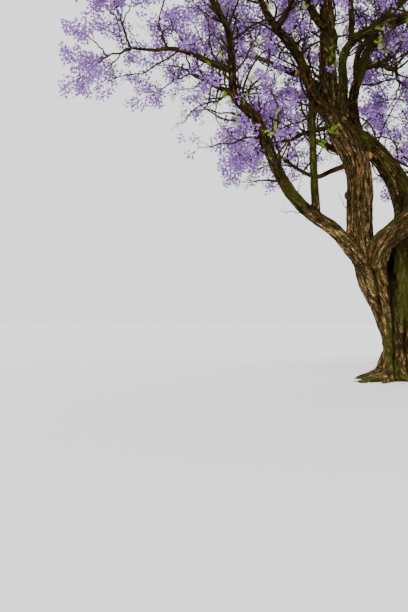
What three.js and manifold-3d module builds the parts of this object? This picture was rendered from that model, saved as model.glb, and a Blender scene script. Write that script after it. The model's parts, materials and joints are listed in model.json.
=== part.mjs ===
// An old avenue jacaranda in full blossom: a leaning, fluted trunk with surface roots, two stems that grow
// together again at head height of the crown, long crooked boughs, and masses of blossom at their ends.
// Millimetres, +Z up. The origin is the middle of the flat cut at ground level, -X leans over the road.
import * as THREE from "three";
import { mergeVertices } from "three/addons/utils/BufferGeometryUtils.js";
import Module from "manifold-3d";

const wasm = await Module();
wasm.setup();

// Driving dimensions
const joinGap = 0.4; // between two pieces of wood that meet
const mergeWithin = 0.001;
const groundDepth = 1200; // of the block that cuts the foot flat
const groundWidth = 9000;

const trunk = {
  lean: [
    [0, 0, -300], [-20, 0, 200], [-60, 0, 900], [-250, 0, 1690], [-480, 0, 2340], [-750, 0, 2980],
    [-970, 0, 3600],
  ],
  girth: [580, 540, 480, 452, 440, 432, 432, 445, 470, 485, 455, 360],
  sides: 16,
  steps: 11,
  flutes: 5,
  fluteDepth: 0.075, // as a share of the radius, deepest at the ground
  fluteTurn: 0.9,
};

// Each surface root leaves the trunk at a compass angle, in degrees from +X, and dives into the ground at its reach.
const roots = [
  { toward: 222, reach: 1750, thick: 270 },
  { toward: 283, reach: 1080, thick: 300 },
  { toward: 335, reach: 980, thick: 320 },
  { toward: 28, reach: 1250, thick: 300 },
  { toward: 88, reach: 1000, thick: 310 },
  { toward: 146, reach: 1350, thick: 300 },
];
const rootShape = { springsAt: 1150, sides: 6, steps: 5, endThick: 80, sinks: 70 };

// Stems and boughs that run through given places. Girth is the radius, evenly spaced from foot to tip.
const stems = [
  {
    name: "main_stem",
    through: [
      [-830, 0, 3050], [-1070, 0, 3810], [-1130, 0, 4660], [-1130, 0, 5510], [-1220, 0, 6160], [-1450, 0, 6700],
      [-1700, 50, 7180], [-1890, 100, 7800], [-1980, 150, 8500], [-2000, 200, 9380], [-1990, 300, 10270],
      [-2030, 350, 11150], [-1900, 650, 12600],
    ],
    girth: [400, 392, 372, 365, 372, 385, 300, 262, 240, 215, 190, 150, 105],
    steps: 21,
    sides: 9,
  },
  {
    name: "second_stem",
    through: [
      [30, -100, 760], [80, -140, 1690], [100, -90, 2820], [150, 50, 3960], [180, 150, 4760], [30, 250, 5550],
      [-350, 200, 6190], [-830, 90, 6640], [-1350, 40, 7050],
    ],
    girth: [330, 325, 318, 325, 335, 340, 330, 300, 230],
    steps: 13,
    sides: 9,
  },
  {
    name: "right_bough",
    through: [
      [-730, -140, 3180], [-620, -420, 3780], [-260, -650, 4160], [220, -800, 4580], [910, -780, 5240],
      [1850, -560, 6350], [2700, -260, 7350], [3700, 250, 8150],
    ],
    girth: [330, 310, 300, 275, 235, 185, 140, 95],
    steps: 13,
    sides: 8,
  },
  {
    name: "left_bough",
    through: [
      [-1060, -120, 3330], [-1850, -300, 4170], [-2590, -600, 4640], [-3190, -800, 5210], [-3690, -900, 6120],
      [-4130, -1000, 7160], [-4700, -1100, 7760], [-4780, -1100, 8640], [-4890, -1200, 9520], [-5290, -1300, 10240],
      [-5750, -1600, 11050], [-6150, -2150, 11800],
    ],
    girth: [275, 215, 190, 172, 168, 172, 132, 108, 95, 85, 74, 60],
    steps: 18,
    sides: 7,
  },
  {
    name: "upright_bough",
    through: [
      [-2440, -560, 4640], [-2490, -500, 5840], [-2520, -400, 7250], [-2500, 150, 8220], [-2780, 620, 9330],
      [-3250, 1150, 10250],
    ],
    girth: [130, 112, 105, 92, 78, 60],
    steps: 9,
    sides: 6,
  },
  {
    name: "left_high_bough",
    through: [
      [-1880, 60, 7420], [-2360, -100, 7910], [-2690, -300, 8580], [-2960, -500, 9100], [-3420, -700, 9590],
      [-3790, -900, 10060], [-4150, -980, 10680], [-4700, -350, 11500],
    ],
    girth: [205, 172, 150, 132, 112, 96, 82, 64],
    steps: 12,
    sides: 6,
  },
  {
    name: "right_high_bough",
    through: [
      [-1640, -40, 7200], [-1630, -290, 8170], [-1640, -350, 9040], [-1300, -400, 9550], [-670, -500, 9960],
      [-60, -600, 10500], [520, -700, 11010], [1050, -850, 11600],
    ],
    girth: [190, 150, 128, 120, 112, 102, 85, 62],
    steps: 12,
    sides: 6,
  },
  {
    name: "spire_bough",
    through: [
      [-1430, -390, 9400], [-1400, -400, 10020], [-1440, -500, 10640], [-1250, -850, 11350],
      [-850, -1450, 12100],
    ],
    girth: [95, 84, 76, 68, 55],
    steps: 7,
    sides: 6,
  },
  {
    name: "back_right_bough",
    through: [
      [-1080, 130, 6650], [-1230, 160, 7430], [-1250, 220, 8100], [-1030, 250, 8830], [-840, 310, 9360],
      [-480, 360, 9890], [40, 410, 10270], [640, 500, 10560], [1350, 640, 11000],
    ],
    girth: [230, 165, 150, 142, 132, 122, 112, 95, 70],
    steps: 12,
    sides: 6,
  },
  {
    name: "far_right_bough",
    through: [
      [-1150, 330, 8350], [-1080, 560, 9330], [-760, 760, 9890], [-230, 1080, 10450], [330, 1560, 11150],
      [700, 2050, 11850],
    ],
    girth: [110, 96, 88, 80, 70, 56],
    steps: 9,
    sides: 6,
  },
  {
    name: "left_top_bough",
    through: [
      [-1990, 260, 9980], [-2380, 60, 10390], [-2640, -180, 10850], [-2950, -500, 11450],
      [-3350, -1050, 12150],
    ],
    girth: [150, 125, 108, 90, 66],
    steps: 7,
    sides: 6,
  },
  {
    name: "drooping_bough",
    through: [[-1700, -60, 7230], [-2370, -200, 7020], [-2790, -300, 6900], [-3080, -330, 6740], [-3420, -330, 6680]],
    girth: [100, 78, 68, 58, 46],
    steps: 8,
    sides: 6,
  },
  {
    name: "low_back_bough",
    through: [[-1380, 60, 6120], [-1900, 340, 5960], [-2260, 640, 5860], [-2700, 1150, 6150], [-3200, 1750, 6650]],
    girth: [90, 74, 66, 56, 46],
    steps: 8,
    sides: 6,
  },
];

// Boughs that leave a stem at a share of its length and wander to their tip.
const offshoots = [
  { name: "left_low_offshoot", from: ["left_bough", 0.63], tip: [-6900, -650, 9150], girth: [110, 56] },
  { name: "left_back_offshoot", from: ["left_bough", 0.47], tip: [-5550, 2050, 9150], girth: [118, 58] },
  { name: "left_front_offshoot", from: ["left_bough", 0.83], tip: [-5500, -3750, 11000], girth: [82, 52] },
  { name: "left_far_offshoot", from: ["left_bough", 0.9], tip: [-7250, -1950, 11150], girth: [76, 52] },
  { name: "back_left_offshoot", from: ["main_stem", 0.52], tip: [-3900, 3700, 10350], girth: [150, 62] },
  { name: "back_offshoot", from: ["main_stem", 0.63], tip: [-1750, 3500, 12000], girth: [140, 60] },
  { name: "front_offshoot", from: ["main_stem", 0.84], tip: [-2350, -2700, 12500], girth: [110, 58] },
  { name: "high_front_offshoot", from: ["left_high_bough", 0.72], tip: [-3900, -3300, 12150], girth: [84, 52] },
  { name: "inner_front_offshoot", from: ["left_high_bough", 0.5], tip: [-3150, -2550, 10050], girth: [80, 52] },
  { name: "right_front_offshoot", from: ["right_high_bough", 0.74], tip: [650, -3150, 12000], girth: [86, 52] },
  { name: "inner_right_offshoot", from: ["right_high_bough", 0.42], tip: [350, -2450, 9850], girth: [86, 52] },
  { name: "back_low_offshoot", from: ["back_right_bough", 0.42], tip: [750, 3450, 9500], girth: [118, 58] },
  { name: "right_low_offshoot", from: ["right_bough", 0.58], tip: [3550, -2700, 8500], girth: [130, 60] },
  { name: "right_back_offshoot", from: ["right_bough", 0.66], tip: [3000, 3050, 8600], girth: [118, 58] },
  { name: "right_top_offshoot", from: ["right_bough", 0.74], tip: [3050, -900, 10300], girth: [105, 56] },
  { name: "stem_back_offshoot", from: ["second_stem", 0.6], tip: [1500, 2900, 7000], girth: [120, 58] },
  { name: "middle_back_offshoot", from: ["main_stem", 0.3], tip: [-2050, 3500, 7650], girth: [150, 60] },
];
const offshootShape = {
  sides: 6,
  steps: 7,
  leaves: 0.22, // share of its length over which it still follows the stem
  wander: 0.07, // sideways crook, as a share of its length
  sag: 0.06,
};

// Each mass of blossom carries on from the tip of one bough. Reach is how far it spreads from there.
const masses = [
  { name: "top_blossom", tip: "main_stem", reach: 3000, turn: [-0.1, 0.1, 1.0] },
  { name: "right_blossom", tip: "right_bough", reach: 2850, turn: [0.9, 0.3, 0.35] },
  { name: "left_blossom", tip: "left_bough", reach: 2850, turn: [-0.3, -0.4, 1.0] },
  { name: "upright_blossom", tip: "upright_bough", reach: 2500, turn: [-0.6, 0.6, 0.5] },
  { name: "left_high_blossom", tip: "left_high_bough", reach: 2600, turn: [-0.4, 0.6, 1.0] },
  { name: "right_high_blossom", tip: "right_high_bough", reach: 2750, turn: [0.6, -0.2, 0.9] },
  { name: "spire_blossom", tip: "spire_bough", reach: 2600, turn: [0.3, -0.5, 1.0] },
  { name: "back_right_blossom", tip: "back_right_bough", reach: 2750, turn: [1.0, 0.0, 0.4] },
  { name: "far_right_blossom", tip: "far_right_bough", reach: 2750, turn: [0.4, 0.5, 0.8] },
  { name: "left_top_blossom", tip: "left_top_bough", reach: 2600, turn: [-0.3, -0.1, 1.0] },
  { name: "drooping_blossom", tip: "drooping_bough", reach: 1500, turn: [-1.0, 0.1, -0.1] },
  { name: "low_back_blossom", tip: "low_back_bough", reach: 2150, turn: [-0.8, 0.7, 0.3] },
  { name: "left_low_blossom", tip: "left_low_offshoot", reach: 2500, turn: [-1.0, 0.2, 0.3] },
  { name: "left_back_blossom", tip: "left_back_offshoot", reach: 2750, turn: [-0.5, 0.8, 0.4] },
  { name: "left_front_blossom", tip: "left_front_offshoot", reach: 2600, turn: [-0.2, -0.9, 0.5] },
  { name: "left_far_blossom", tip: "left_far_offshoot", reach: 2600, turn: [-0.9, -0.2, 0.6] },
  { name: "back_left_blossom", tip: "back_left_offshoot", reach: 2850, turn: [-0.5, 0.9, 0.4] },
  { name: "back_blossom", tip: "back_offshoot", reach: 2850, turn: [-0.1, 0.8, 0.8] },
  { name: "front_blossom", tip: "front_offshoot", reach: 2750, turn: [0.1, -0.9, 0.7] },
  { name: "high_front_blossom", tip: "high_front_offshoot", reach: 2600, turn: [-0.4, -0.7, 0.8] },
  { name: "inner_front_blossom", tip: "inner_front_offshoot", reach: 2300, turn: [0.1, -0.9, 0.4] },
  { name: "inner_right_blossom", tip: "inner_right_offshoot", reach: 2500, turn: [0.7, -0.8, 0.2] },
  { name: "right_front_blossom", tip: "right_front_offshoot", reach: 2750, turn: [0.4, -0.8, 0.6] },
  { name: "back_low_blossom", tip: "back_low_offshoot", reach: 2750, turn: [0.3, 0.9, 0.4] },
  { name: "right_low_blossom", tip: "right_low_offshoot", reach: 2600, turn: [0.6, -0.7, 0.3] },
  { name: "right_back_blossom", tip: "right_back_offshoot", reach: 2600, turn: [0.6, 0.7, 0.3] },
  { name: "right_top_blossom", tip: "right_top_offshoot", reach: 2500, turn: [0.5, -0.3, 0.9] },
  { name: "stem_back_blossom", tip: "stem_back_offshoot", reach: 2500, turn: [0.5, 0.8, 0.2] },
  { name: "middle_back_blossom", tip: "middle_back_offshoot", reach: 2600, turn: [-0.2, 0.9, 0.3] },
];
const massShape = {
  middle: 0.5, // of its own space, as a share of reach ahead of the bough's tip
  lengths: [0.26, 0.27, 0.22], // of the stem and of each order of twig, as shares of reach
  spreads: [0.95, 0.8, 0.75], // radians that the three twigs of each fork lean out
  jitter: 0.3, // radians
  rise: 0.22, // how much a twig turns up towards the light
  taper: 0.68, // from one order of twig to the next
  knuckle: 0.7, // height of a fork, in twig radii
  sprayLength: 0.42,
  sprayWidth: 0.58, // of the spray's own length
  sprayDepth: 0.38,
  sprayWaist: 0.46, // how far along it is widest
  tries: 9, // headings that a twig or spray may take to find room
  giveWay: 0.06, // how much shorter it is at each try
  edgeGap: 25, // kept clear of the next mass and of every limb
  seed: 4201,
};

// Moss covers every limb but these.
const bareStems = ["main_stem", "right_bough"];

const finishes = {
  bark: new THREE.MeshStandardMaterial({ color: 0x4a3a2c, roughness: 0.95, metalness: 0 }),
  mossyBark: new THREE.MeshStandardMaterial({ color: 0x4c4a2a, roughness: 0.95, metalness: 0 }),
  blossom: new THREE.MeshStandardMaterial({ color: 0x8f7cc4, roughness: 0.7, metalness: 0 }),
};

// A repeatable run of numbers from 0 to 1.
const drawer = (seed) => {
  const wrap = 2147483647;
  let state = (seed % (wrap - 1)) + 1;
  return () => {
    state = (state * 16807) % wrap;
    return state / wrap;
  };
};

const vector = (place) => new THREE.Vector3(...place);

// A closed solid from a three.js geometry.
function solidOf(geometry) {
  geometry.deleteAttribute("normal");
  geometry.deleteAttribute("uv");
  const merged = mergeVertices(geometry, mergeWithin);
  const corners = [];
  for (let i = 0; i < merged.index.count; i += 3) {
    const [a, b, c] = [0, 1, 2].map((k) => merged.index.getX(i + k));
    if (a !== b && b !== c && c !== a) {
      corners.push(a, b, c);
    }
  }
  const mesh = new wasm.Mesh({
    numProp: 3,
    vertProperties: merged.attributes.position.array,
    triVerts: new Uint32Array(corners),
  });
  return new wasm.Manifold(mesh);
}

function geometryOf(solid) {
  const mesh = solid.getMesh();
  const geometry = new THREE.BufferGeometry();
  geometry.setAttribute("position", new THREE.BufferAttribute(new Float32Array(mesh.vertProperties), 3));
  geometry.setIndex(new THREE.BufferAttribute(new Uint32Array(mesh.triVerts), 1));
  geometry.computeVertexNormals();
  return geometry;
}

// The value a share of the way through a list of evenly spaced values.
function along(values, share) {
  const place = share * (values.length - 1);
  const before = Math.min(Math.floor(place), values.length - 2);
  return THREE.MathUtils.lerp(values[before], values[before + 1], place - before);
}

// A lathe-turned blank, bent along a path. The grown one is larger all over, to cut a seat for it.
function limbSolid(limb, grown = 0, flute = () => 1) {
  const { path, girth, sides, steps } = limb;
  const frames = path.computeFrenetFrames(steps, false);
  const profile = [new THREE.Vector2(0, 0)];
  for (let i = 0; i <= steps; i++) {
    profile.push(new THREE.Vector2(along(girth, i / steps) + grown, i));
  }
  profile.push(new THREE.Vector2(0, steps));
  const blank = new THREE.LatheGeometry(profile, sides);
  const spots = blank.attributes.position;
  for (let v = 0; v < spots.count; v++) {
    const i = Math.round(spots.getY(v));
    const end = (i === steps) - (i === 0);
    const swell = flute(Math.atan2(spots.getZ(v), spots.getX(v)), i / steps);
    const spot = path.getPointAt(i / steps);
    spot.addScaledVector(frames.normals[i], spots.getX(v) * swell);
    spot.addScaledVector(frames.binormals[i], -spots.getZ(v) * swell);
    spot.addScaledVector(frames.tangents[i], end * grown);
    spots.setXYZ(v, spot.x, spot.y, spot.z);
  }
  return solidOf(blank);
}

const largest = (solid) =>
  solid.decompose().reduce((best, next) => (next.volume() > best.volume() ? next : best));

const boxesMeet = (a, b) => {
  const [p, q] = [a.boundingBox(), b.boundingBox()];
  return [0, 1, 2].every((k) => p.min[k] <= q.max[k] && q.min[k] <= p.max[k]);
};

function trunkSolid(grown = 0) {
  const path = new THREE.CatmullRomCurve3(trunk.lean.map(vector), false, "catmullrom");
  const flute = (angle, share) => {
    const depth = trunk.fluteDepth * (1 - 0.55 * share);
    return 1 + depth * Math.cos(trunk.flutes * angle + trunk.fluteTurn + 1.4 * share);
  };
  let solid = limbSolid({ path, ...trunk }, grown, flute);
  for (const root of roots) {
    const angle = THREE.MathUtils.degToRad(root.toward);
    const out = new THREE.Vector3(Math.cos(angle), Math.sin(angle), 0);
    const level = (reach, height) => out.clone().multiplyScalar(reach).setZ(height);
    const rootPath = new THREE.CatmullRomCurve3(
      [
        level(root.thick * 0.55, rootShape.springsAt),
        level(root.thick * 0.9 + root.reach * 0.06, rootShape.springsAt * 0.48),
        level(root.thick * 0.9 + root.reach * 0.26, root.thick * 0.5),
        level(root.reach * 0.82, root.thick * 0.1),
        level(root.reach, -rootShape.sinks),
      ],
      false,
      "catmullrom",
    );
    const girth = [0.5, 0.8, 0.92, 0.72, 0.42].map((share) => root.thick * share).concat(rootShape.endThick);
    solid = solid.add(limbSolid({ path: rootPath, girth, ...rootShape }, grown));
  }
  const ground = new THREE.BoxGeometry(groundWidth, groundWidth, groundDepth);
  ground.translate(0, 0, -groundDepth / 2);
  return largest(solid.subtract(solidOf(ground)));
}

// The path of an offshoot: away along its stem at first, then crooked on its way to the tip.
function offshootPath(offshoot, stem, seed) {
  const draw = drawer(seed);
  const start = stem.path.getPointAt(offshoot.from[1]);
  const tip = vector(offshoot.tip);
  const span = tip.clone().sub(start);
  const length = span.length();
  const follow = stem.path.getTangentAt(offshoot.from[1]).multiplyScalar(length * offshootShape.leaves);
  const side = new THREE.Vector3(0, 0, 1).cross(span).normalize();
  const places = [start];
  for (const share of [0.25, 0.5, 0.75]) {
    const crook = (draw() - 0.5) * 2 * offshootShape.wander * length;
    const spot = start.clone().addScaledVector(span, share);
    spot.addScaledVector(follow, Math.sin(share * Math.PI) * 0.6);
    spot.addScaledVector(side, crook);
    spot.z -= Math.sin(share * Math.PI) * offshootShape.sag * length * (draw() + 0.5);
    places.push(spot);
  }
  places.push(tip);
  return new THREE.CatmullRomCurve3(places, false, "catmullrom");
}

// Every limb with its path, and places on it to keep foliage clear of.
const limbs = new Map();
for (const stem of stems) {
  const path = new THREE.CatmullRomCurve3(stem.through.map(vector), false, "catmullrom");
  limbs.set(stem.name, { ...stem, path });
}
offshoots.forEach((offshoot, i) => {
  const path = offshootPath(offshoot, limbs.get(offshoot.from[0]), massShape.seed + 977 * i);
  limbs.set(offshoot.name, { ...offshoot, ...offshootShape, path });
});
const beads = [];
for (const limb of limbs.values()) {
  const count = 40;
  for (let i = 0; i <= count; i++) {
    beads.push({ spot: limb.path.getPointAt(i / count), radius: along(limb.girth, i / count) });
  }
}

// Where each mass of blossom starts, and the middle of the space that it keeps to.
for (const mass of masses) {
  const bough = limbs.get(mass.tip);
  mass.foot = bough.path.getPointAt(1);
  mass.thick = bough.girth.at(-1);
  mass.heading = bough.path.getTangentAt(1);
  mass.middle = mass.foot.clone().addScaledVector(vector(mass.turn).normalize(), mass.reach * massShape.middle);
}

// True if a rod of this radius stays in its mass's own space and clear of the limbs.
function fits(mass, from, to, radius) {
  const margin = radius + massShape.edgeGap;
  for (const other of masses) {
    if (other !== mass) {
      const across = other.middle.clone().sub(mass.middle);
      const half = across.length() / 2;
      across.normalize();
      const furthest = Math.max(...[from, to].map((p) => p.clone().sub(mass.middle).dot(across)));
      if (furthest + margin > half) {
        return false;
      }
    }
  }
  const rod = new THREE.Line3(from, to);
  const nearest = new THREE.Vector3();
  return beads.every((bead) => {
    rod.closestPointToPoint(bead.spot, true, nearest);
    return nearest.distanceTo(bead.spot) > bead.radius + margin;
  });
}

// One mass grows as a single skin: a stem from the bough's tip that forks in three, each twig of the fork again,
// and each of the last twigs again, into three sprays of blossom. Every twig and spray grows out of one face of
// the fork before it, so that all of them are one closed body.
function massSolid(mass, seed) {
  const draw = drawer(seed);
  const around = (width) => (draw() - 0.5) * 2 * width;
  const points = [];
  const faces = [];
  const grown = [];
  const addPoint = (place) => points.push(place) - 1;
  const at = (corners) => corners.map((corner) => points[corner]);
  const centreOf = (places) =>
    places.reduce((sum, place) => sum.add(place), new THREE.Vector3()).divideScalar(places.length);
  const addSides = (low, high) => {
    low.forEach((corner, i) => {
      const next = (i + 1) % 3;
      faces.push([corner, low[next], high[next]], [corner, high[next], high[i]]);
    });
  };
  const acrossOf = (root, heading) => {
    const keel = points[root[2]].clone().sub(centreOf(at(root)));
    return keel.addScaledVector(heading, -keel.dot(heading)).normalize();
  };

  // Claims a space for a twig or spray, unless one that stands there already would touch it.
  const hasRoom = (places) => {
    const space = wasm.Manifold.hull(places.map((place) => place.toArray()));
    if (grown.some((other) => boxesMeet(space, other) && !space.intersect(other).isEmpty())) {
      return false;
    }
    grown.push(space);
    return true;
  };

  // Three corners round a place, the last of them on the side of the keel.
  const ring = (place, heading, keel, wide, shallow, deep) => {
    const side = heading.clone().cross(keel);
    return [
      place.clone().addScaledVector(side, wide).addScaledVector(keel, -shallow),
      place.clone().addScaledVector(side, -wide).addScaledVector(keel, -shallow),
      place.clone().addScaledVector(keel, deep),
    ];
  };

  const spray = (root, headings) => {
    const start = centreOf(at(root));
    const fullLength = mass.reach * massShape.sprayLength * (1 + around(0.15));
    for (const [i, heading] of headings.entries()) {
      const length = fullLength * (1 - massShape.giveWay * i);
      const width = length * massShape.sprayWidth;
      const depth = length * massShape.sprayDepth;
      const waist = start.clone().addScaledVector(heading, length * massShape.sprayWaist);
      const belt = ring(waist, heading, acrossOf(root, heading), width / 2, depth * 0.35, depth * 0.65);
      const tip = start.clone().addScaledVector(heading, length);
      const lifted = start.clone().addScaledVector(heading, length * 0.06);
      if (fits(mass, start, tip, width / 2) && hasRoom([lifted, ...belt, tip])) {
        const corners = belt.map(addPoint);
        const end = addPoint(tip);
        addSides(root, corners);
        corners.forEach((corner, k) => faces.push([corner, corners[(k + 1) % 3], end]));
        return;
      }
    }
    faces.push(root);
  };

  // A twig takes the first heading with room for it, and forks. With no room at all, a spray ends the fork.
  const twig = (root, headings, radius, order) => {
    const start = centreOf(at(root));
    const fullLength = mass.reach * massShape.lengths[order] * (1 + around(0.12));
    for (const [i, heading] of headings.entries()) {
      const end = start.clone().addScaledVector(heading, fullLength * (1 - massShape.giveWay * i));
      const keel = acrossOf(root, heading);
      const triangle = (place, size) => ring(place, heading, keel, size * 0.87, size * 0.5, size);
      const clear = start.clone().lerp(end, 0.25);
      const held = [...triangle(clear, radius), ...triangle(start.clone().lerp(end, 0.9), radius)];
      if (order === 0 || (fits(mass, clear, end, radius) && hasRoom(held))) {
        const collar = triangle(end, radius).map(addPoint);
        addSides(root, collar);
        fork(collar, end, heading, radius, order);
        return;
      }
    }
    spray(root, headings);
  };

  const fork = (collar, end, heading, radius, order) => {
    const peak = addPoint(end.clone().addScaledVector(heading, radius * massShape.knuckle));
    collar.forEach((corner, i) => {
      const next = collar[(i + 1) % 3];
      const outward = centreOf(at([corner, next])).sub(end).normalize();
      const headings = Array.from({ length: massShape.tries }, () => {
        const spread = massShape.spreads[order] + around(massShape.jitter);
        const aside = outward.clone().applyAxisAngle(heading, around(massShape.jitter));
        const child = heading.clone().multiplyScalar(Math.cos(spread)).addScaledVector(aside, Math.sin(spread));
        child.z += massShape.rise;
        return child.normalize();
      });
      if (order + 1 < massShape.lengths.length) {
        twig([corner, next, peak], headings, radius * massShape.taper, order + 1);
      } else {
        spray([corner, next, peak], headings);
      }
    });
  };

  const foot = mass.foot.clone().addScaledVector(mass.heading, joinGap);
  const keel = new THREE.Vector3(0, 0, 1).cross(mass.heading).normalize();
  const base = ring(foot, mass.heading, keel, mass.thick * 0.8, mass.thick * 0.46, mass.thick * 0.9).map(addPoint);
  faces.push([...base].reverse());
  const onward = mass.heading.clone().add(vector(mass.turn)).normalize();
  twig(base, [onward], mass.thick * 0.7, 0);
  const mesh = new wasm.Mesh({
    numProp: 3,
    vertProperties: new Float32Array(points.flatMap((place) => place.toArray())),
    triVerts: new Uint32Array(faces.flat()),
  });
  return new wasm.Manifold(mesh);
}

const tree = new THREE.Group();

function addNode(name, solid, finish) {
  const mesh = new THREE.Mesh(geometryOf(solid), finish);
  mesh.name = name;
  tree.add(mesh);
}

// The trunk first, then each limb cut clear of every limb that stands before it.
const standing = [trunkSolid(joinGap)];
addNode("trunk", trunkSolid(), finishes.bark);
for (const limb of limbs.values()) {
  let solid = limbSolid(limb);
  for (const other of standing) {
    if (boxesMeet(solid, other)) {
      solid = solid.subtract(other);
    }
  }
  addNode(limb.name, largest(solid), bareStems.includes(limb.name) ? finishes.bark : finishes.mossyBark);
  standing.push(limbSolid(limb, joinGap));
}
masses.forEach((mass, i) => addNode(mass.name, massSolid(mass, massShape.seed + 7919 * i), finishes.blossom));

export default tree;
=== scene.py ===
# An old avenue jacaranda in full blossom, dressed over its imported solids
# Metres, +Z up, the foot of the trunk at the origin
import json
import math
import bmesh
import bpy
import numpy as np
from mathutils import Matrix, Vector, noise

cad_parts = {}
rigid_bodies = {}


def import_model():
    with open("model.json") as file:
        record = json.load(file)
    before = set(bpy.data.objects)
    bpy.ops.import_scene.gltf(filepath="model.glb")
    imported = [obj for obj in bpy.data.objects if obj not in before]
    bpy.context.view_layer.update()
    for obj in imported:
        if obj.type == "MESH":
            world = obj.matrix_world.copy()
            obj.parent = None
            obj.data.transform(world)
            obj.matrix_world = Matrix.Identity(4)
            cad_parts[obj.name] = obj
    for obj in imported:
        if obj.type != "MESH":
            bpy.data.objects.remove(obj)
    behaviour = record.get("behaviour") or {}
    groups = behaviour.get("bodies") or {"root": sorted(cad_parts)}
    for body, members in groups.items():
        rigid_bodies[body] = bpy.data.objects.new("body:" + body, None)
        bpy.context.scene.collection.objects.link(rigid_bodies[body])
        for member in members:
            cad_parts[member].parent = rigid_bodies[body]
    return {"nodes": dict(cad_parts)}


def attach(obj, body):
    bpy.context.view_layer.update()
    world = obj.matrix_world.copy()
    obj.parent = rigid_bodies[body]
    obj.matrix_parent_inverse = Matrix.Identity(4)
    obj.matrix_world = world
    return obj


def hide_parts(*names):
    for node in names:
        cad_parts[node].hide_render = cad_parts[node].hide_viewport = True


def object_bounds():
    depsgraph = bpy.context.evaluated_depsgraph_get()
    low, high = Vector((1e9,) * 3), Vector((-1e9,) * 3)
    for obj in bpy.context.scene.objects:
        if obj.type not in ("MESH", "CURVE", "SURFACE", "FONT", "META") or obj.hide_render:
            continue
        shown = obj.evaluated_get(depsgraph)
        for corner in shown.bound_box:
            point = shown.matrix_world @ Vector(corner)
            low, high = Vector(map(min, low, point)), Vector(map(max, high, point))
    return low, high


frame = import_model()
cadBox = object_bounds()
print("solids loaded:", len(frame["nodes"]))

view = {
    "place": (-5.534, -24.0, 1.609),
    "tiltUp": 1.15, # degrees above level
    "lens": 50,
}
camera = bpy.data.objects.new("camera", bpy.data.cameras.new("camera"))
camera.data.lens = view["lens"]
camera.data.clip_end = 1500
camera.location = view["place"]
camera.rotation_euler = (math.radians(90 + view["tiltUp"]), 0, 0)
bpy.context.scene.collection.objects.link(camera)
bpy.context.scene.camera = camera

# The tree's own sizes, the same as in the part's source

trunk = {
    "lean": [
        (0, 0, -0.3), (-0.02, 0, 0.2), (-0.06, 0, 0.9), (-0.25, 0, 1.69), (-0.48, 0, 2.34), (-0.75, 0, 2.98),
        (-0.97, 0, 3.6),
    ],
    "girth": [0.58, 0.54, 0.48, 0.452, 0.44, 0.432, 0.432, 0.445, 0.47, 0.485, 0.455, 0.36],
    "flutes": 5,
    "fluteDepth": 0.075,
    "fluteTurn": 0.9,
}

# Surface roots: compass angle in degrees from +X, reach, thickness, and how far they sway aside
roots = [
    (222, 1.75, 0.27, 0.07), (283, 1.08, 0.3, -0.08), (335, 0.98, 0.32, 0.08), (28, 1.25, 0.3, -0.07),
    (88, 1.0, 0.31, 0.07), (146, 1.35, 0.3, -0.08),
]
# Rootlets: the root each leaves and at which share of it, how far it turns in degrees, reach and thickness
rootlets = [
    (0, 0.5, 30, 1.1, 0.1), (0, 0.66, -26, 0.8, 0.075), (1, 0.5, -38, 0.8, 0.09), (1, 0.62, 30, 0.6, 0.07),
    (2, 0.55, 36, 0.7, 0.085), (3, 0.5, -34, 0.9, 0.095), (3, 0.68, 30, 0.6, 0.07), (4, 0.55, 38, 0.75, 0.09),
    (5, 0.5, 36, 0.9, 0.1), (5, 0.64, -30, 0.7, 0.075),
]
rootShape = {"springsAt": 1.15, "endThick": 0.08, "sinks": 0.07}

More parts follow.
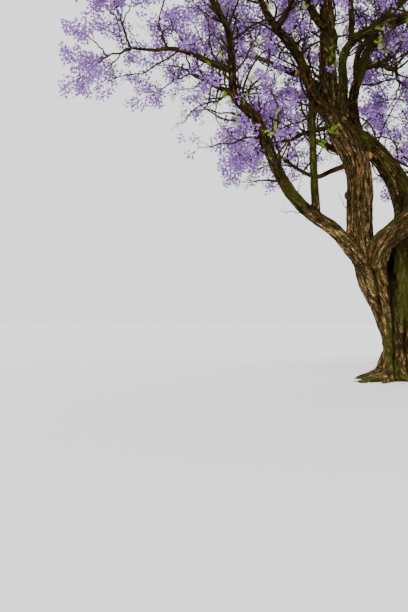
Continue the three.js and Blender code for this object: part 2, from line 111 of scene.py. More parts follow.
# Stems and boughs: the places they run through, and their radius from foot to tip
stems = {
    "main_stem": ([
        (-0.83, 0, 3.05), (-1.07, 0, 3.81), (-1.13, 0, 4.66), (-1.13, 0, 5.51), (-1.22, 0, 6.16),
        (-1.45, 0, 6.7), (-1.7, 0.05, 7.18), (-1.89, 0.1, 7.8), (-1.98, 0.15, 8.5), (-2.0, 0.2, 9.38),
        (-1.99, 0.3, 10.27), (-2.03, 0.35, 11.15), (-1.9, 0.65, 12.6),
    ], [0.4, 0.392, 0.372, 0.365, 0.372, 0.385, 0.3, 0.262, 0.24, 0.215, 0.19, 0.15, 0.105]),
    "second_stem": ([
        (0.03, -0.1, 0.76), (0.08, -0.14, 1.69), (0.1, -0.09, 2.82), (0.15, 0.05, 3.96), (0.18, 0.15, 4.76),
        (0.03, 0.25, 5.55), (-0.35, 0.2, 6.19), (-0.83, 0.09, 6.64), (-1.35, 0.04, 7.05),
    ], [0.33, 0.325, 0.318, 0.325, 0.335, 0.34, 0.33, 0.3, 0.23]),
    "right_bough": ([
        (-0.73, -0.14, 3.18), (-0.62, -0.42, 3.78), (-0.26, -0.65, 4.16), (0.22, -0.8, 4.58),
        (0.91, -0.78, 5.24), (1.85, -0.56, 6.35), (2.7, -0.26, 7.35), (3.7, 0.25, 8.15),
    ], [0.33, 0.31, 0.3, 0.275, 0.235, 0.185, 0.14, 0.095]),
    "left_bough": ([
        (-1.06, -0.12, 3.33), (-1.85, -0.3, 4.17), (-2.59, -0.6, 4.64), (-3.19, -0.8, 5.21),
        (-3.69, -0.9, 6.12), (-4.13, -1.0, 7.16), (-4.7, -1.1, 7.76), (-4.78, -1.1, 8.64),
        (-4.89, -1.2, 9.52), (-5.29, -1.3, 10.24), (-5.75, -1.6, 11.05), (-6.15, -2.15, 11.8),
    ], [0.275, 0.215, 0.19, 0.172, 0.168, 0.172, 0.132, 0.108, 0.095, 0.085, 0.074, 0.06]),
    "upright_bough": ([
        (-2.44, -0.56, 4.64), (-2.49, -0.5, 5.84), (-2.52, -0.4, 7.25), (-2.5, 0.15, 8.22),
        (-2.78, 0.62, 9.33), (-3.25, 1.15, 10.25),
    ], [0.13, 0.112, 0.105, 0.092, 0.078, 0.06]),
    "left_high_bough": ([
        (-1.88, 0.06, 7.42), (-2.36, -0.1, 7.91), (-2.69, -0.3, 8.58), (-2.96, -0.5, 9.1),
        (-3.42, -0.7, 9.59), (-3.79, -0.9, 10.06), (-4.15, -0.98, 10.68), (-4.7, -0.35, 11.5),
    ], [0.205, 0.172, 0.15, 0.132, 0.112, 0.096, 0.082, 0.064]),
    "right_high_bough": ([
        (-1.64, -0.04, 7.2), (-1.63, -0.29, 8.17), (-1.64, -0.35, 9.04), (-1.3, -0.4, 9.55),
        (-0.67, -0.5, 9.96), (-0.06, -0.6, 10.5), (0.52, -0.7, 11.01), (1.05, -0.85, 11.6),
    ], [0.19, 0.15, 0.128, 0.12, 0.112, 0.102, 0.085, 0.062]),
    "spire_bough": ([
        (-1.43, -0.39, 9.4), (-1.4, -0.4, 10.02), (-1.44, -0.5, 10.64), (-1.25, -0.85, 11.35),
        (-0.85, -1.45, 12.1),
    ], [0.095, 0.084, 0.076, 0.068, 0.055]),
    "back_right_bough": ([
        (-1.08, 0.13, 6.65), (-1.23, 0.16, 7.43), (-1.25, 0.22, 8.1), (-1.03, 0.25, 8.83),
        (-0.84, 0.31, 9.36), (-0.48, 0.36, 9.89), (0.04, 0.41, 10.27), (0.64, 0.5, 10.56), (1.35, 0.64, 11.0),
    ], [0.23, 0.165, 0.15, 0.142, 0.132, 0.122, 0.112, 0.095, 0.07]),
    "far_right_bough": ([
        (-1.15, 0.33, 8.35), (-1.08, 0.56, 9.33), (-0.76, 0.76, 9.89), (-0.23, 1.08, 10.45),
        (0.33, 1.56, 11.15), (0.7, 2.05, 11.85),
    ], [0.11, 0.096, 0.088, 0.08, 0.07, 0.056]),
    "left_top_bough": ([
        (-1.99, 0.26, 9.98), (-2.38, 0.06, 10.39), (-2.64, -0.18, 10.85), (-2.95, -0.5, 11.45),
        (-3.35, -1.05, 12.15),
    ], [0.15, 0.125, 0.108, 0.09, 0.066]),
    "drooping_bough": ([
        (-1.7, -0.06, 7.23), (-2.37, -0.2, 7.02), (-2.79, -0.3, 6.9), (-3.08, -0.33, 6.74),
        (-3.42, -0.33, 6.68),
    ], [0.1, 0.078, 0.068, 0.058, 0.046]),
    "low_back_bough": ([
        (-1.38, 0.06, 6.12), (-1.9, 0.34, 5.96), (-2.26, 0.64, 5.86), (-2.7, 1.15, 6.15), (-3.2, 1.75, 6.65),
    ], [0.09, 0.074, 0.066, 0.056, 0.046]),
}

# Boughs that leave a stem: the stem, the share of its length, their tip, and their radius at foot and tip
offshoots = {
    "left_low_offshoot": ("left_bough", 0.63, (-6.9, -0.65, 9.15), (0.11, 0.056)),
    "left_back_offshoot": ("left_bough", 0.47, (-5.55, 2.05, 9.15), (0.118, 0.058)),
    "left_front_offshoot": ("left_bough", 0.83, (-5.5, -3.75, 11.0), (0.082, 0.052)),
    "left_far_offshoot": ("left_bough", 0.9, (-7.25, -1.95, 11.15), (0.076, 0.052)),
    "back_left_offshoot": ("main_stem", 0.52, (-3.9, 3.7, 10.35), (0.15, 0.062)),
    "back_offshoot": ("main_stem", 0.63, (-1.75, 3.5, 12.0), (0.14, 0.06)),
    "front_offshoot": ("main_stem", 0.84, (-2.35, -2.7, 12.5), (0.11, 0.058)),
    "high_front_offshoot": ("left_high_bough", 0.72, (-3.9, -3.3, 12.15), (0.084, 0.052)),
    "inner_front_offshoot": ("left_high_bough", 0.5, (-3.15, -2.55, 10.05), (0.08, 0.052)),
    "right_front_offshoot": ("right_high_bough", 0.74, (0.65, -3.15, 12.0), (0.086, 0.052)),
    "inner_right_offshoot": ("right_high_bough", 0.42, (0.35, -2.45, 9.85), (0.086, 0.052)),
    "back_low_offshoot": ("back_right_bough", 0.42, (0.75, 3.45, 9.5), (0.118, 0.058)),
    "right_low_offshoot": ("right_bough", 0.58, (3.55, -2.7, 8.5), (0.13, 0.06)),
    "right_back_offshoot": ("right_bough", 0.66, (3.0, 3.05, 8.6), (0.118, 0.058)),
    "right_top_offshoot": ("right_bough", 0.74, (3.05, -0.9, 10.3), (0.105, 0.056)),
    "stem_back_offshoot": ("second_stem", 0.6, (1.5, 2.9, 7.0), (0.12, 0.058)),
    "middle_back_offshoot": ("main_stem", 0.3, (-2.05, 3.5, 7.65), (0.15, 0.06)),
}
offshootShape = {"leaves": 0.22, "wander": 0.07, "sag": 0.06}

# Masses of blossom: the limb they carry on from, how far they spread, which way they turn, and their piece
masses = {
    "top": ("main_stem", 3.0, (-0.1, 0.1, 1.0), "top"),
    "right": ("right_bough", 2.85, (0.9, 0.3, 0.35), "right"),
    "left": ("left_bough", 2.85, (-0.3, -0.4, 1.0), "left"),
    "upright": ("upright_bough", 2.5, (-0.6, 0.6, 0.5), "left"),
    "left_high": ("left_high_bough", 2.6, (-0.4, 0.6, 1.0), "left"),
    "right_high": ("right_high_bough", 2.75, (0.6, -0.2, 0.9), "top"),
    "spire": ("spire_bough", 2.6, (0.3, -0.5, 1.0), "top"),
    "back_right": ("back_right_bough", 2.75, (1.0, 0.0, 0.4), "back_right"),
    "far_right": ("far_right_bough", 2.75, (0.4, 0.5, 0.8), "back_right"),
    "left_top": ("left_top_bough", 2.6, (-0.3, -0.1, 1.0), "top"),
    "drooping": ("drooping_bough", 1.5, (-1.0, 0.1, -0.1), "front"),
    "low_back": ("low_back_bough", 2.15, (-0.8, 0.7, 0.3), "back_left"),
    "left_low": ("left_low_offshoot", 2.5, (-1.0, 0.2, 0.3), "left"),
    "left_back": ("left_back_offshoot", 2.75, (-0.5, 0.8, 0.4), "back_left"),
    "left_front": ("left_front_offshoot", 2.6, (-0.2, -0.9, 0.5), "front"),
    "left_far": ("left_far_offshoot", 2.6, (-0.9, -0.2, 0.6), "left"),
    "back_left": ("back_left_offshoot", 2.85, (-0.5, 0.9, 0.4), "back_left"),
    "back": ("back_offshoot", 2.85, (-0.1, 0.8, 0.8), "back_left"),
    "front": ("front_offshoot", 2.75, (0.1, -0.9, 0.7), "front"),
    "high_front": ("high_front_offshoot", 2.6, (-0.4, -0.7, 0.8), "front"),
    "inner_front": ("inner_front_offshoot", 2.3, (0.1, -0.9, 0.4), "front"),
    "inner_right": ("inner_right_offshoot", 2.5, (0.7, -0.8, 0.2), "right"),
    "right_front": ("right_front_offshoot", 2.75, (0.4, -0.8, 0.6), "top"),
    "back_low": ("back_low_offshoot", 2.75, (0.3, 0.9, 0.4), "back_right"),
    "right_low": ("right_low_offshoot", 2.6, (0.6, -0.7, 0.3), "right"),
    "right_back": ("right_back_offshoot", 2.6, (0.6, 0.7, 0.3), "back_right"),
    "right_top": ("right_top_offshoot", 2.5, (0.5, -0.3, 0.9), "right"),
    "stem_back": ("stem_back_offshoot", 2.5, (0.5, 0.8, 0.2), "back_right"),
    "middle_back": ("middle_back_offshoot", 2.6, (-0.2, 0.9, 0.3), "back_left"),
}
blossomPieces = ("left", "front", "top", "right", "back_right", "back_left")
massShape = {
    "middle": 0.5,
    "lengths": (0.26, 0.27, 0.22),
    "spreads": (0.95, 0.8, 0.75),
    "jitter": 0.3,
    "rise": 0.22,
    "taper": 0.68,
    "knuckle": 0.7,
    "sprayLength": 0.42,
    "sprayWidth": 0.58,
    "sprayDepth": 0.38,
    "sprayWaist": 0.46,
    "tries": 9,
    "giveWay": 0.06,
    "edgeGap": 0.025,
    "joinGap": 0.0004,
    "seed": 4201,
}


def unit(direction):
    return direction / np.linalg.norm(direction)


def drawer(seed):
    # A repeatable run of numbers from 0 to 1
    wrap = 2147483647
    state = seed % (wrap - 1) + 1

    def draw():
        nonlocal state
        state = state * 16807 % wrap
        return state / wrap

    return draw


class LimbPath:
    # A smooth path through given places, measured off by its own length, with a radius all along it
    def __init__(self, through, girth):
        places = np.array(through, float)
        before = 2 * places[0] - places[1]
        after = 2 * places[-1] - places[-2]
        self.places = np.vstack([before, places, after])
        self.girth = girth
        self.marks = np.linspace(0, 1, 201)
        steps = np.diff(self.spotsAtMarks(self.marks), axis=0)
        self.lengths = np.concatenate([[0], np.cumsum(np.linalg.norm(steps, axis=1))])
        self.length = self.lengths[-1]

    def spotsAtMarks(self, marks):
        spans = len(self.places) - 3
        place = np.atleast_1d(marks) * spans
        i = np.minimum(np.floor(place).astype(int), spans - 1)
        w = (place - i)[:, None]
        p0, p1, p2, p3 = [self.places[i + k] for k in range(4)]
        leave = (p2 - p0) / 2
        arrive = (p3 - p1) / 2
        bend = -3 * p1 + 3 * p2 - 2 * leave - arrive
        return p1 + leave * w + bend * w**2 + (2 * p1 - 2 * p2 + leave + arrive) * w**3

    def marksAt(self, shares):
        return np.interp(np.atleast_1d(shares) * self.length, self.lengths, self.marks)

    def spots(self, shares):
        return self.spotsAtMarks(self.marksAt(shares))

    def headings(self, shares):
        marks = self.marksAt(shares)
        ahead = self.spotsAtMarks(np.minimum(marks + 0.0001, 1))
        behind = self.spotsAtMarks(np.maximum(marks - 0.0001, 0))
        return (ahead - behind) / np.linalg.norm(ahead - behind, axis=1)[:, None]

    def radii(self, shares):
        return np.interp(np.atleast_1d(shares) * (len(self.girth) - 1), range(len(self.girth)), self.girth)


def offshootPath(parent, share, tip, girth, seed):
    # Away along its stem at first, then crooked on its way to the tip
    draw = drawer(seed)
    start = parent.spots(share)[0]
    span = np.array(tip) - start
    length = np.linalg.norm(span)
    follow = parent.headings(share)[0] * length * offshootShape["leaves"]
    side = unit(np.cross((0, 0, 1), span))
    places = [start]
    for part in (0.25, 0.5, 0.75):
        crook = (draw() - 0.5) * 2 * offshootShape["wander"] * length
        spot = start + span * part + follow * math.sin(part * math.pi) * 0.6 + side * crook
        spot[2] -= math.sin(part * math.pi) * offshootShape["sag"] * length * (draw() + 0.5)
        places.append(spot)
    return LimbPath(places + [tip], girth)


def rootPath(toward, reach, thick, sway):
    angle = math.radians(toward)
    out = np.array((math.cos(angle), math.sin(angle), 0))
    aside = np.array((-out[1], out[0], 0)) * sway * reach
    top = rootShape["springsAt"]
    heights = (top, top * 0.48, thick * 0.5, thick * 0.1, -rootShape["sinks"])
    ways = (thick * 0.55, thick * 0.9 + reach * 0.06, thick * 0.9 + reach * 0.26, reach * 0.82, reach)
    shifts = (0, 0, 1, -1, 0.4)
    places = [out * way + aside * shift + (0, 0, height) for way, shift, height in zip(ways, shifts, heights)]
    girth = [thick * share for share in (0.5, 0.8, 0.92, 0.72, 0.42)]
    return LimbPath(places, girth + [rootShape["endThick"]])


def rootletPath(parent, share, turn, reach, thick):
    # Off its root, along the ground and into it
    start = parent.spots(share)[0]
    along = parent.headings(share)[0]
    angle = math.atan2(along[1], along[0]) + math.radians(turn)
    out = np.array((math.cos(angle), math.sin(angle), 0)) * reach
    places = [start, start + out * 0.5, start + out]
    for place, height in zip(places, (thick * 0.5, -thick * 0.05, -thick * 0.9)):
        place[2] = height
    return LimbPath(places, [thick * 1.25, thick, thick * 0.7])


limbs = {name: LimbPath(*stem) for name, stem in stems.items()}
for order, (name, (parentName, share, tip, girth)) in enumerate(offshoots.items()):
    limbs[name] = offshootPath(limbs[parentName], share, tip, girth, massShape["seed"] + 977 * order)
beadShares = np.linspace(0, 1, 41)
beadSpots = np.vstack([limb.spots(beadShares) for limb in limbs.values()])
beadRadii = np.concatenate([limb.radii(beadShares) for limb in limbs.values()])
print("limbs laid out:", len(limbs))

# The crown, by the source's rule: each mass is a stem that forks in three, three times, and ends in sprays

massMiddles = {
    name: limbs[tip].spots(1)[0] + unit(np.array(turn)) * reach * massShape["middle"]
    for name, (tip, reach, turn, piece) in masses.items()
}
spindleFaces = [(0, 1, 2), (0, 2, 3), (0, 3, 1), (4, 2, 1), (4, 3, 2), (4, 1, 3)]
spindleEdges = [(0, 1), (0, 2), (0, 3), (1, 2), (2, 3), (3, 1), (4, 1), (4, 2), (4, 3)]
rodFaces = [(0, 1, 2), (0, 1, 4), (1, 2, 5), (2, 0, 3)]
rodEdges = [(0, 1), (1, 2), (2, 0), (0, 3)]


def claimOf(places, faces, edges):
    # A convex space, with the directions along which another can be told apart from it
    places = np.array(places)
    normals = [np.cross(places[b] - places[a], places[c] - places[a]) for a, b, c in faces]
    ways = [places[b] - places[a] for a, b in edges]
    return {"places": places, "normals": np.array(normals), "ways": np.array(ways)}


def touching(one, other):
    lowOne, highOne = one["places"].min(0), one["places"].max(0)
    lowOther, highOther = other["places"].min(0), other["places"].max(0)
    if np.any(lowOne > highOther) or np.any(lowOther > highOne):
        return False
    crossed = np.cross(one["ways"][:, None], other["ways"][None]).reshape(-1, 3)
    axes = np.vstack([one["normals"], other["normals"], crossed])
    axes = axes[np.linalg.norm(axes, axis=1) > 1e-9]
    onOne = axes @ one["places"].T
    onOther = axes @ other["places"].T
    parted = (onOne.max(1) <= onOther.min(1)) | (onOther.max(1) <= onOne.min(1))
    return not parted.any()


class Mass:
    # One mass of blossom as it grows: its twigs and sprays, and the space that they have claimed
    def __init__(self, name, seed):
        self.name = name
        tip, self.reach, self.turn, piece = masses[name]
        self.group = blossomPieces.index(piece)
        self.draw = drawer(seed)
        self.middle = massMiddles[name]
        others = np.array([massMiddles[other] for other in masses if other != name]) - self.middle
        self.halves = np.linalg.norm(others, axis=1) / 2
        self.across = others / (2 * self.halves[:, None])
        self.claims = []
        self.twigs = []
        self.sprays = []
        limb = limbs[tip]
        self.thick = limb.girth[-1]
        self.heading = limb.headings(1)[0]
        self.foot = limb.spots(1)[0] + self.heading * massShape["joinGap"]

    def around(self, width):
        return (self.draw() - 0.5) * 2 * width

    def fits(self, start, end, radius):
        margin = radius + massShape["edgeGap"]
        furthest = np.maximum(self.across @ (start - self.middle), self.across @ (end - self.middle))
        if np.any(furthest + margin > self.halves):
            return False
        span = end - start
        nearest = np.clip((beadSpots - start) @ span / (span @ span), 0, 1)
        gaps = np.linalg.norm(beadSpots - start - nearest[:, None] * span, axis=1)
        return bool(np.all(gaps > beadRadii + margin))

    def hasRoom(self, claim):
        if any(touching(claim, other) for other in self.claims):
            return False
        self.claims.append(claim)
        return True

    def keelOf(self, root, heading):
        keel = root[2] - sum(root) / 3
        return unit(keel - heading * (keel @ heading))

    def ring(self, place, heading, keel, wide, shallow, deep):
        side = np.cross(heading, keel)
        low = keel * shallow
        return [place + side * wide - low, place - side * wide - low, place + keel * deep]

    def growSpray(self, root, headings, parentEnd, parentRadius):
        start = sum(root) / 3
        fullLength = self.reach * massShape["sprayLength"] * (1 + self.around(0.15))
        for i, heading in enumerate(headings):
            length = fullLength * (1 - massShape["giveWay"] * i)
            width = length * massShape["sprayWidth"]
            depth = length * massShape["sprayDepth"]
            keel = self.keelOf(root, heading)
            waist = start + heading * length * massShape["sprayWaist"]
            belt = self.ring(waist, heading, keel, width / 2, depth * 0.35, depth * 0.65)
            tip = start + heading * length
            if self.fits(start, tip, width / 2):
                lifted = start + heading * length * 0.06
                if self.hasRoom(claimOf([lifted, *belt, tip], spindleFaces, spindleEdges)):
                    self.sprays.append({
                        "from": parentEnd, "thick": parentRadius, "start": start, "heading": heading,
                        "keel": keel, "length": length,
                    })
                    return

    def growTwig(self, root, headings, radius, order, parentEnd, parentRadius):
        start = sum(root) / 3
        fullLength = self.reach * massShape["lengths"][order] * (1 + self.around(0.12))
        for i, heading in enumerate(headings):
            end = start + heading * fullLength * (1 - massShape["giveWay"] * i)
            keel = self.keelOf(root, heading)
            clear = start + (end - start) * 0.25
            far = start + (end - start) * 0.9
            sizes = (radius * 0.87, radius * 0.5, radius)
            held = self.ring(clear, heading, keel, *sizes) + self.ring(far, heading, keel, *sizes)
            claim = claimOf(held, rodFaces, rodEdges)
            if order == 0 or (self.fits(clear, end, radius) and self.hasRoom(claim)):
                self.twigs.append({
                    "from": parentEnd, "thick": parentRadius, "start": start, "end": end, "radius": radius,
                    "order": order,
                })
                self.growFork(self.ring(end, heading, keel, *sizes), end, heading, radius, order)
                return
        self.growSpray(root, headings, parentEnd, parentRadius)

    def growFork(self, collar, end, heading, radius, order):
        peak = end + heading * radius * massShape["knuckle"]
        for i in range(3):
            corner, following = collar[i], collar[(i + 1) % 3]
            outward = unit((corner + following) / 2 - end)
            headings = []
            for _ in range(massShape["tries"]):
                spread = massShape["spreads"][order] + self.around(massShape["jitter"])
                swing = self.around(massShape["jitter"])
                aside = outward * math.cos(swing) + np.cross(heading, outward) * math.sin(swing)
                child = heading * math.cos(spread) + aside * math.sin(spread)
                child[2] += massShape["rise"]
                headings.append(unit(child))
            root = [corner, following, peak]
            if order + 1 < len(massShape["lengths"]):
                self.growTwig(root, headings, radius * massShape["taper"], order + 1, end, radius)
            else:
                self.growSpray(root, headings, end, radius)

    def grow(self):
        keel = unit(np.cross((0, 0, 1), self.heading))
        sizes = (self.thick * 0.8, self.thick * 0.46, self.thick * 0.9)
        base = self.ring(self.foot, self.heading, keel, *sizes)
        onward = unit(self.heading + np.array(self.turn))
        self.growTwig(base, [onward], self.thick * 0.7, 0, self.foot - self.heading * 0.1, self.thick)
        return self


crown = [Mass(name, massShape["seed"] + 7919 * i).grow() for i, name in enumerate(masses)]
crownTwigs = [twig for mass in crown for twig in mass.twigs]
crownSprays = [spray for mass in crown for spray in mass.sprays]
print("crown grown:", len(crownTwigs), "twigs,", len(crownSprays), "sprays")

# Finishes


def newMaterial(name, roughness, specular=0.25):
    material = bpy.data.materials.new(name)
    material.use_nodes = True
    shader = material.node_tree.nodes["Principled BSDF"]
    shader.inputs["Roughness"].default_value = roughness
    shader.inputs["Specular IOR Level"].default_value = specular
    return material, material.node_tree, shader


def feed(tree, socket, value):
    # Joins a socket to another node's output, or sets it to a number or a tone
    if isinstance(value, bpy.types.NodeSocket):
        tree.links.new(value, socket)
    else:
        socket.default_value = (*value, 1) if socket.type == "RGBA" else value


def addNode(tree, kind, settings=None, **inputs):
    node = tree.nodes.new("ShaderNode" + kind)
    for key, value in (settings or {}).items():
        setattr(node, key, value)
    for key, value in inputs.items():
        feed(tree, node.inputs[int(key[1:]) if key[1:].isdigit() else key], value)
    return node


def addRamp(tree, value, *stops):
    ramp = addNode(tree, "ValToRGB", Fac=value)
    marks = ramp.color_ramp.elements
    while len(marks) < len(stops):
        marks.new(0.5)
    for mark, (place, tone) in zip(marks, stops):
        mark.position = place
        mark.color = (*np.broadcast_to(tone, 3), 1)
    return ramp.outputs["Color"]


def addNoise(tree, place, scale, detail, roughness=0.5):
    node = addNode(tree, "TexNoise", Vector=place, Scale=scale, Detail=detail, Roughness=roughness)
    return node.outputs["Fac"]


def times(tree, first, second, plus=0.0):
    return addNode(tree, "Math", {"operation": "MULTIPLY_ADD"}, n0=first, n1=second, n2=plus).outputs[0]


def mixTones(tree, share, first, second):
    return addNode(tree, "Mix", {"data_type": "RGBA"}, n0=share, n6=first, n7=second).outputs[2]


def layerOf(tree, name, kind="Fac"):
    return addNode(tree, "Attribute", {"attribute_name": name}).outputs[kind]


def stretched(tree, place, along):
    return addNode(tree, "Mapping", Vector=place, Scale=(1, 1, along)).outputs["Vector"]


def dress(tree, shader, tone, height, depth, strength):
    # The tone, and the relief that is too fine for the mesh
    feed(tree, shader.inputs["Base Color"], tone)
    bump = addNode(tree, "Bump", Height=height, Distance=depth, Strength=strength)
    tree.links.new(bump.outputs["Normal"], shader.inputs["Normal"])


barkLook = {
    # The damp row is partly a shaded copy of the dry row: painted shade on the limbs high up and in the crown
    "dampShaded": [(0.004, 0.0025, 0.0008), (0.033, 0.02, 0.005), (0.11, 0.067, 0.02), (0.32, 0.215, 0.1)],
    "dryLit": [(0.018, 0.011, 0.0032), (0.142, 0.092, 0.032), (0.33, 0.22, 0.094), (0.59, 0.43, 0.245)],
    "depths": (0.04, 0.18, 0.36, 0.56), # from the cracks out to the flakes, for both rows of tones: dark in the cracks as painted shade, pale on the plate tops partly as painted highlight
    "reddish": (0.3, 0.115, 0.03),
    "moss": [(0.22, (0.01, 0.01, 0.0015)), (0.42, (0.044, 0.044, 0.006)), (0.66, (0.125, 0.116, 0.02))],
    "plateScale": 29,
    "strandScale": 8,
    "grainScale": 55,
    "stretch": 0.3, # of the plates along the limb
    "strandStretch": 0.13, # of the long fissures
    "bumpDepth": 0.025,
}


def barkMaterial():
    look = barkLook
    material, tree, shader = newMaterial("fissured_bark", 0.95, 0.04)
    place = layerOf(tree, "barkPlace", "Vector")
    recessShade, moss, dryLit = (layerOf(tree, name) for name in ("recessShade", "moss", "dryLit"))
    laid = stretched(tree, place, look["stretch"])
    swirl = addNode(tree, "TexNoise", Vector=laid, Scale=7, Detail=3).outputs["Color"]
    swirled = addNode(
        tree, "VectorMath", {"operation": "MULTIPLY_ADD"}, n0=swirl, n1=(0.05, 0.05, 0.05), n2=laid
    ).outputs["Vector"]
    edges = addNode(
        tree, "TexVoronoi", {"feature": "DISTANCE_TO_EDGE"}, Vector=swirled, Scale=look["plateScale"]
    ).outputs["Distance"]
    cells = addNode(tree, "TexVoronoi", Vector=swirled, Scale=look["plateScale"]).outputs["Color"]
    # Dark lines between the plates and down the fissures: the bark's own cracks, darkened further as painted
    # shade
    plates = addRamp(tree, edges, (0.0, 0.24), (0.1, 0.74), (0.35, 1.0))
    strands = addNoise(tree, stretched(tree, place, look["strandStretch"]), look["strandScale"], 6, 0.62)
    fissures = addRamp(tree, strands, (0.41, 1.0), (0.475, 0.45), (0.5, 0.06), (0.525, 0.45), (0.59, 1.0))
    grain = addNoise(tree, laid, look["grainScale"], 8, 0.7)
    wearAndReliefShading = times(tree, plates, fissures)
    raised = times(tree, grain, 0.6, wearAndReliefShading)
    # The tone also darkens towards the recesses of the mesh as painted shade
    for share in (grain, recessShade, times(tree, cells, 1.3, 0.38)):
        wearAndReliefShading = times(tree, wearAndReliefShading, share)
    # Both rows of tones, mixed by the dry share: the dry row partly a lit copy and the damp row partly a
    # shaded copy, painted light and shade
    tones = [addRamp(tree, wearAndReliefShading, *zip(look["depths"], look[name])) for name in ("dampShaded", "dryLit")]
    redShare = addRamp(tree, addNoise(tree, laid, 2.4, 4), (0.5, 0.0), (0.66, 0.7))
    redTone = addRamp(tree, wearAndReliefShading, (0.03, look["dampShaded"][0]), (0.45, look["reddish"]))
    tone = mixTones(tree, redShare, mixTones(tree, dryLit, *tones), redTone)
    tufts = addNoise(tree, stretched(tree, place, 0.4), 10, 8, 0.75)
    mossy = addRamp(tree, times(tree, moss, 1.0, tufts), (0.78, 0.0), (0.9, 0.55), (1.0, 0.92))
    # The moss darkens in the same recesses: painted shade
    mossTone = addRamp(tree, times(tree, grain, times(tree, recessShade, 0.65, 0.38)), *look["moss"])
    feed(tree, shader.inputs["Roughness"], addRamp(tree, grain, (0.3, 0.82), (0.7, 0.98)))
    dress(tree, shader, mixTones(tree, mossy, tone, mossTone), raised, look["bumpDepth"], 0.9)
    return material


def twigMaterial():
    material, tree, shader = newMaterial("twig_bark", 0.9, 0.06)
    place = addNode(tree, "TexCoord").outputs["Object"]
    flakes = addNoise(tree, place, 34, 5, 0.7)
    brown = addRamp(tree, flakes, (0.35, (0.006, 0.0035, 0.0012)), (0.66, (0.05, 0.029, 0.011)))
    mossy = addRamp(tree, flakes, (0.35, (0.009, 0.009, 0.002)), (0.7, (0.055, 0.052, 0.01)))
    share = addRamp(tree, addNoise(tree, place, 1.3, 2), (0.45, 0.0), (0.62, 0.7))
    dress(tree, shader, mixTones(tree, share, brown, mossy), flakes, 0.006, 0.7)
    return material


def cutWoodMaterial():
    # Healed pruning cuts: rings of orange wood inside a lip of bark
    material, tree, shader = newMaterial("pruned_wood", 0.8)
    place = layerOf(tree, "cutPlace", "Vector")
    rings = addNode(
        tree, "TexWave", {"wave_type": "RINGS", "rings_direction": "Z"},
        Vector=place, Scale=26, Distortion=2.5, Detail=3,
    ).outputs["Fac"]
    orange = addRamp(tree, rings, (0.1, (0.33, 0.11, 0.02)), (0.9, (0.66, 0.24, 0.04)))
    out = addNode(tree, "VectorMath", {"operation": "LENGTH"}, n0=place).outputs["Value"]
    lip = addRamp(tree, out, (0.082, 0.0), (0.094, 1.0))
    dress(tree, shader, mixTones(tree, lip, orange, (0.06, 0.035, 0.016)), rings, 0.004, 0.6)
    return material


petalLook = {
    "roughness": 0.62,
    "specular": 0.25,
    "sheen": 0.25,
    "veins": (160, 2, 0.35), # scale, detail and strength
    "tones": [ # throat and lobe, dealt out by panicle
        ((0.3, 0.13, 0.46), (0.52, 0.28, 0.71)),
        ((0.24, 0.14, 0.49), (0.44, 0.29, 0.8)),
        ((0.42, 0.2, 0.56), (0.68, 0.42, 0.85)),
        ((0.58, 0.41, 0.7), (0.91, 0.72, 0.97)),
        ((0.46, 0.2, 0.5), (0.77, 0.45, 0.79)),
    ],
    "toneSteps": (-0.42, -0.25, 0.12, 0.38), # where one tone gives way to the next
}
leafLook = {
    "roughness": 0.75,
    "specular": 0.06,
    "sheen": 0.0,
    "veins": (90, 3, 0.4),
    "tone": (0.21, 0.31, 0.03),
}


def thinMaterial(name, tone, look):
    # A petal or a leaf: a plain tone, a soft sheen and faint veins
    material, tree, shader = newMaterial(name, look["roughness"], look["specular"])
    shader.inputs["Sheen Weight"].default_value = look["sheen"]
    scale, detail, strength = look["veins"]
    veins = addNoise(tree, addNode(tree, "TexCoord").outputs["Object"], scale, detail)
    dress(tree, shader, tone, veins, 0.002, strength)
    return material


bark = barkMaterial()
twigBark = twigMaterial()
print("bark finishes made")

# Rods: curves with a many-sided bevel, turned into one mesh


def bevelOutline(sides):
    outline = bpy.data.curves.new("outline", "CURVE")
    outline.dimensions = "2D"
    edge = outline.splines.new("POLY")
    edge.points.add(sides - 1)
    for i, point in enumerate(edge.points):
        angle = math.tau * i / sides
        point.co = (math.cos(angle), math.sin(angle), 0, 1)
    edge.use_cyclic_u = True
    return bpy.data.objects.new("outline", outline)


def meshOf(thing):
    # The mesh that an object has once its curves and modifiers are worked out
    shown = bpy.context.scene.collection.objects
    shown.link(thing)
    graph = bpy.context.evaluated_depsgraph_get()
    mesh = bpy.data.meshes.new_from_object(thing.evaluated_get(graph))
    shown.unlink(thing)
    return mesh


def rodMesh(rods, sides):
    curve = bpy.data.curves.new("rods", "CURVE")
    curve.dimensions = "3D"
    curve.bevel_mode = "OBJECT"
    curve.bevel_object = bevelOutline(sides)
    curve.use_fill_caps = True
    for spots, radii in rods:
        rod = curve.splines.new("POLY")
        rod.points.add(len(spots) - 1)
        rod.points.foreach_set("co", np.hstack([spots, np.ones((len(spots), 1))]).ravel())
        rod.points.foreach_set("radius", np.asarray(radii, float))
    thing = bpy.data.objects.new("rods", curve)
    mesh = meshOf(thing)
    outline = curve.bevel_object
    bpy.data.objects.remove(thing)
    bpy.data.objects.remove(outline)
    return mesh


def addPiece(name, mesh, materials, nodes=()):
    # A finished piece of the tree, which stands for the solids named
    mesh.name = name
    mesh.materials.clear()
    for material in materials:
        mesh.materials.append(material)
    piece = bpy.data.objects.new(name, mesh)
    bpy.context.scene.collection.objects.link(piece)
    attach(piece, "root")
    if nodes:
        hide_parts(*nodes)
    triangles = sum(len(face.vertices) - 2 for face in mesh.polygons)
    print("piece", name, triangles, "triangles")


# Wood: every limb as a rod, grown together into one skin, eased at the forks and given its bark

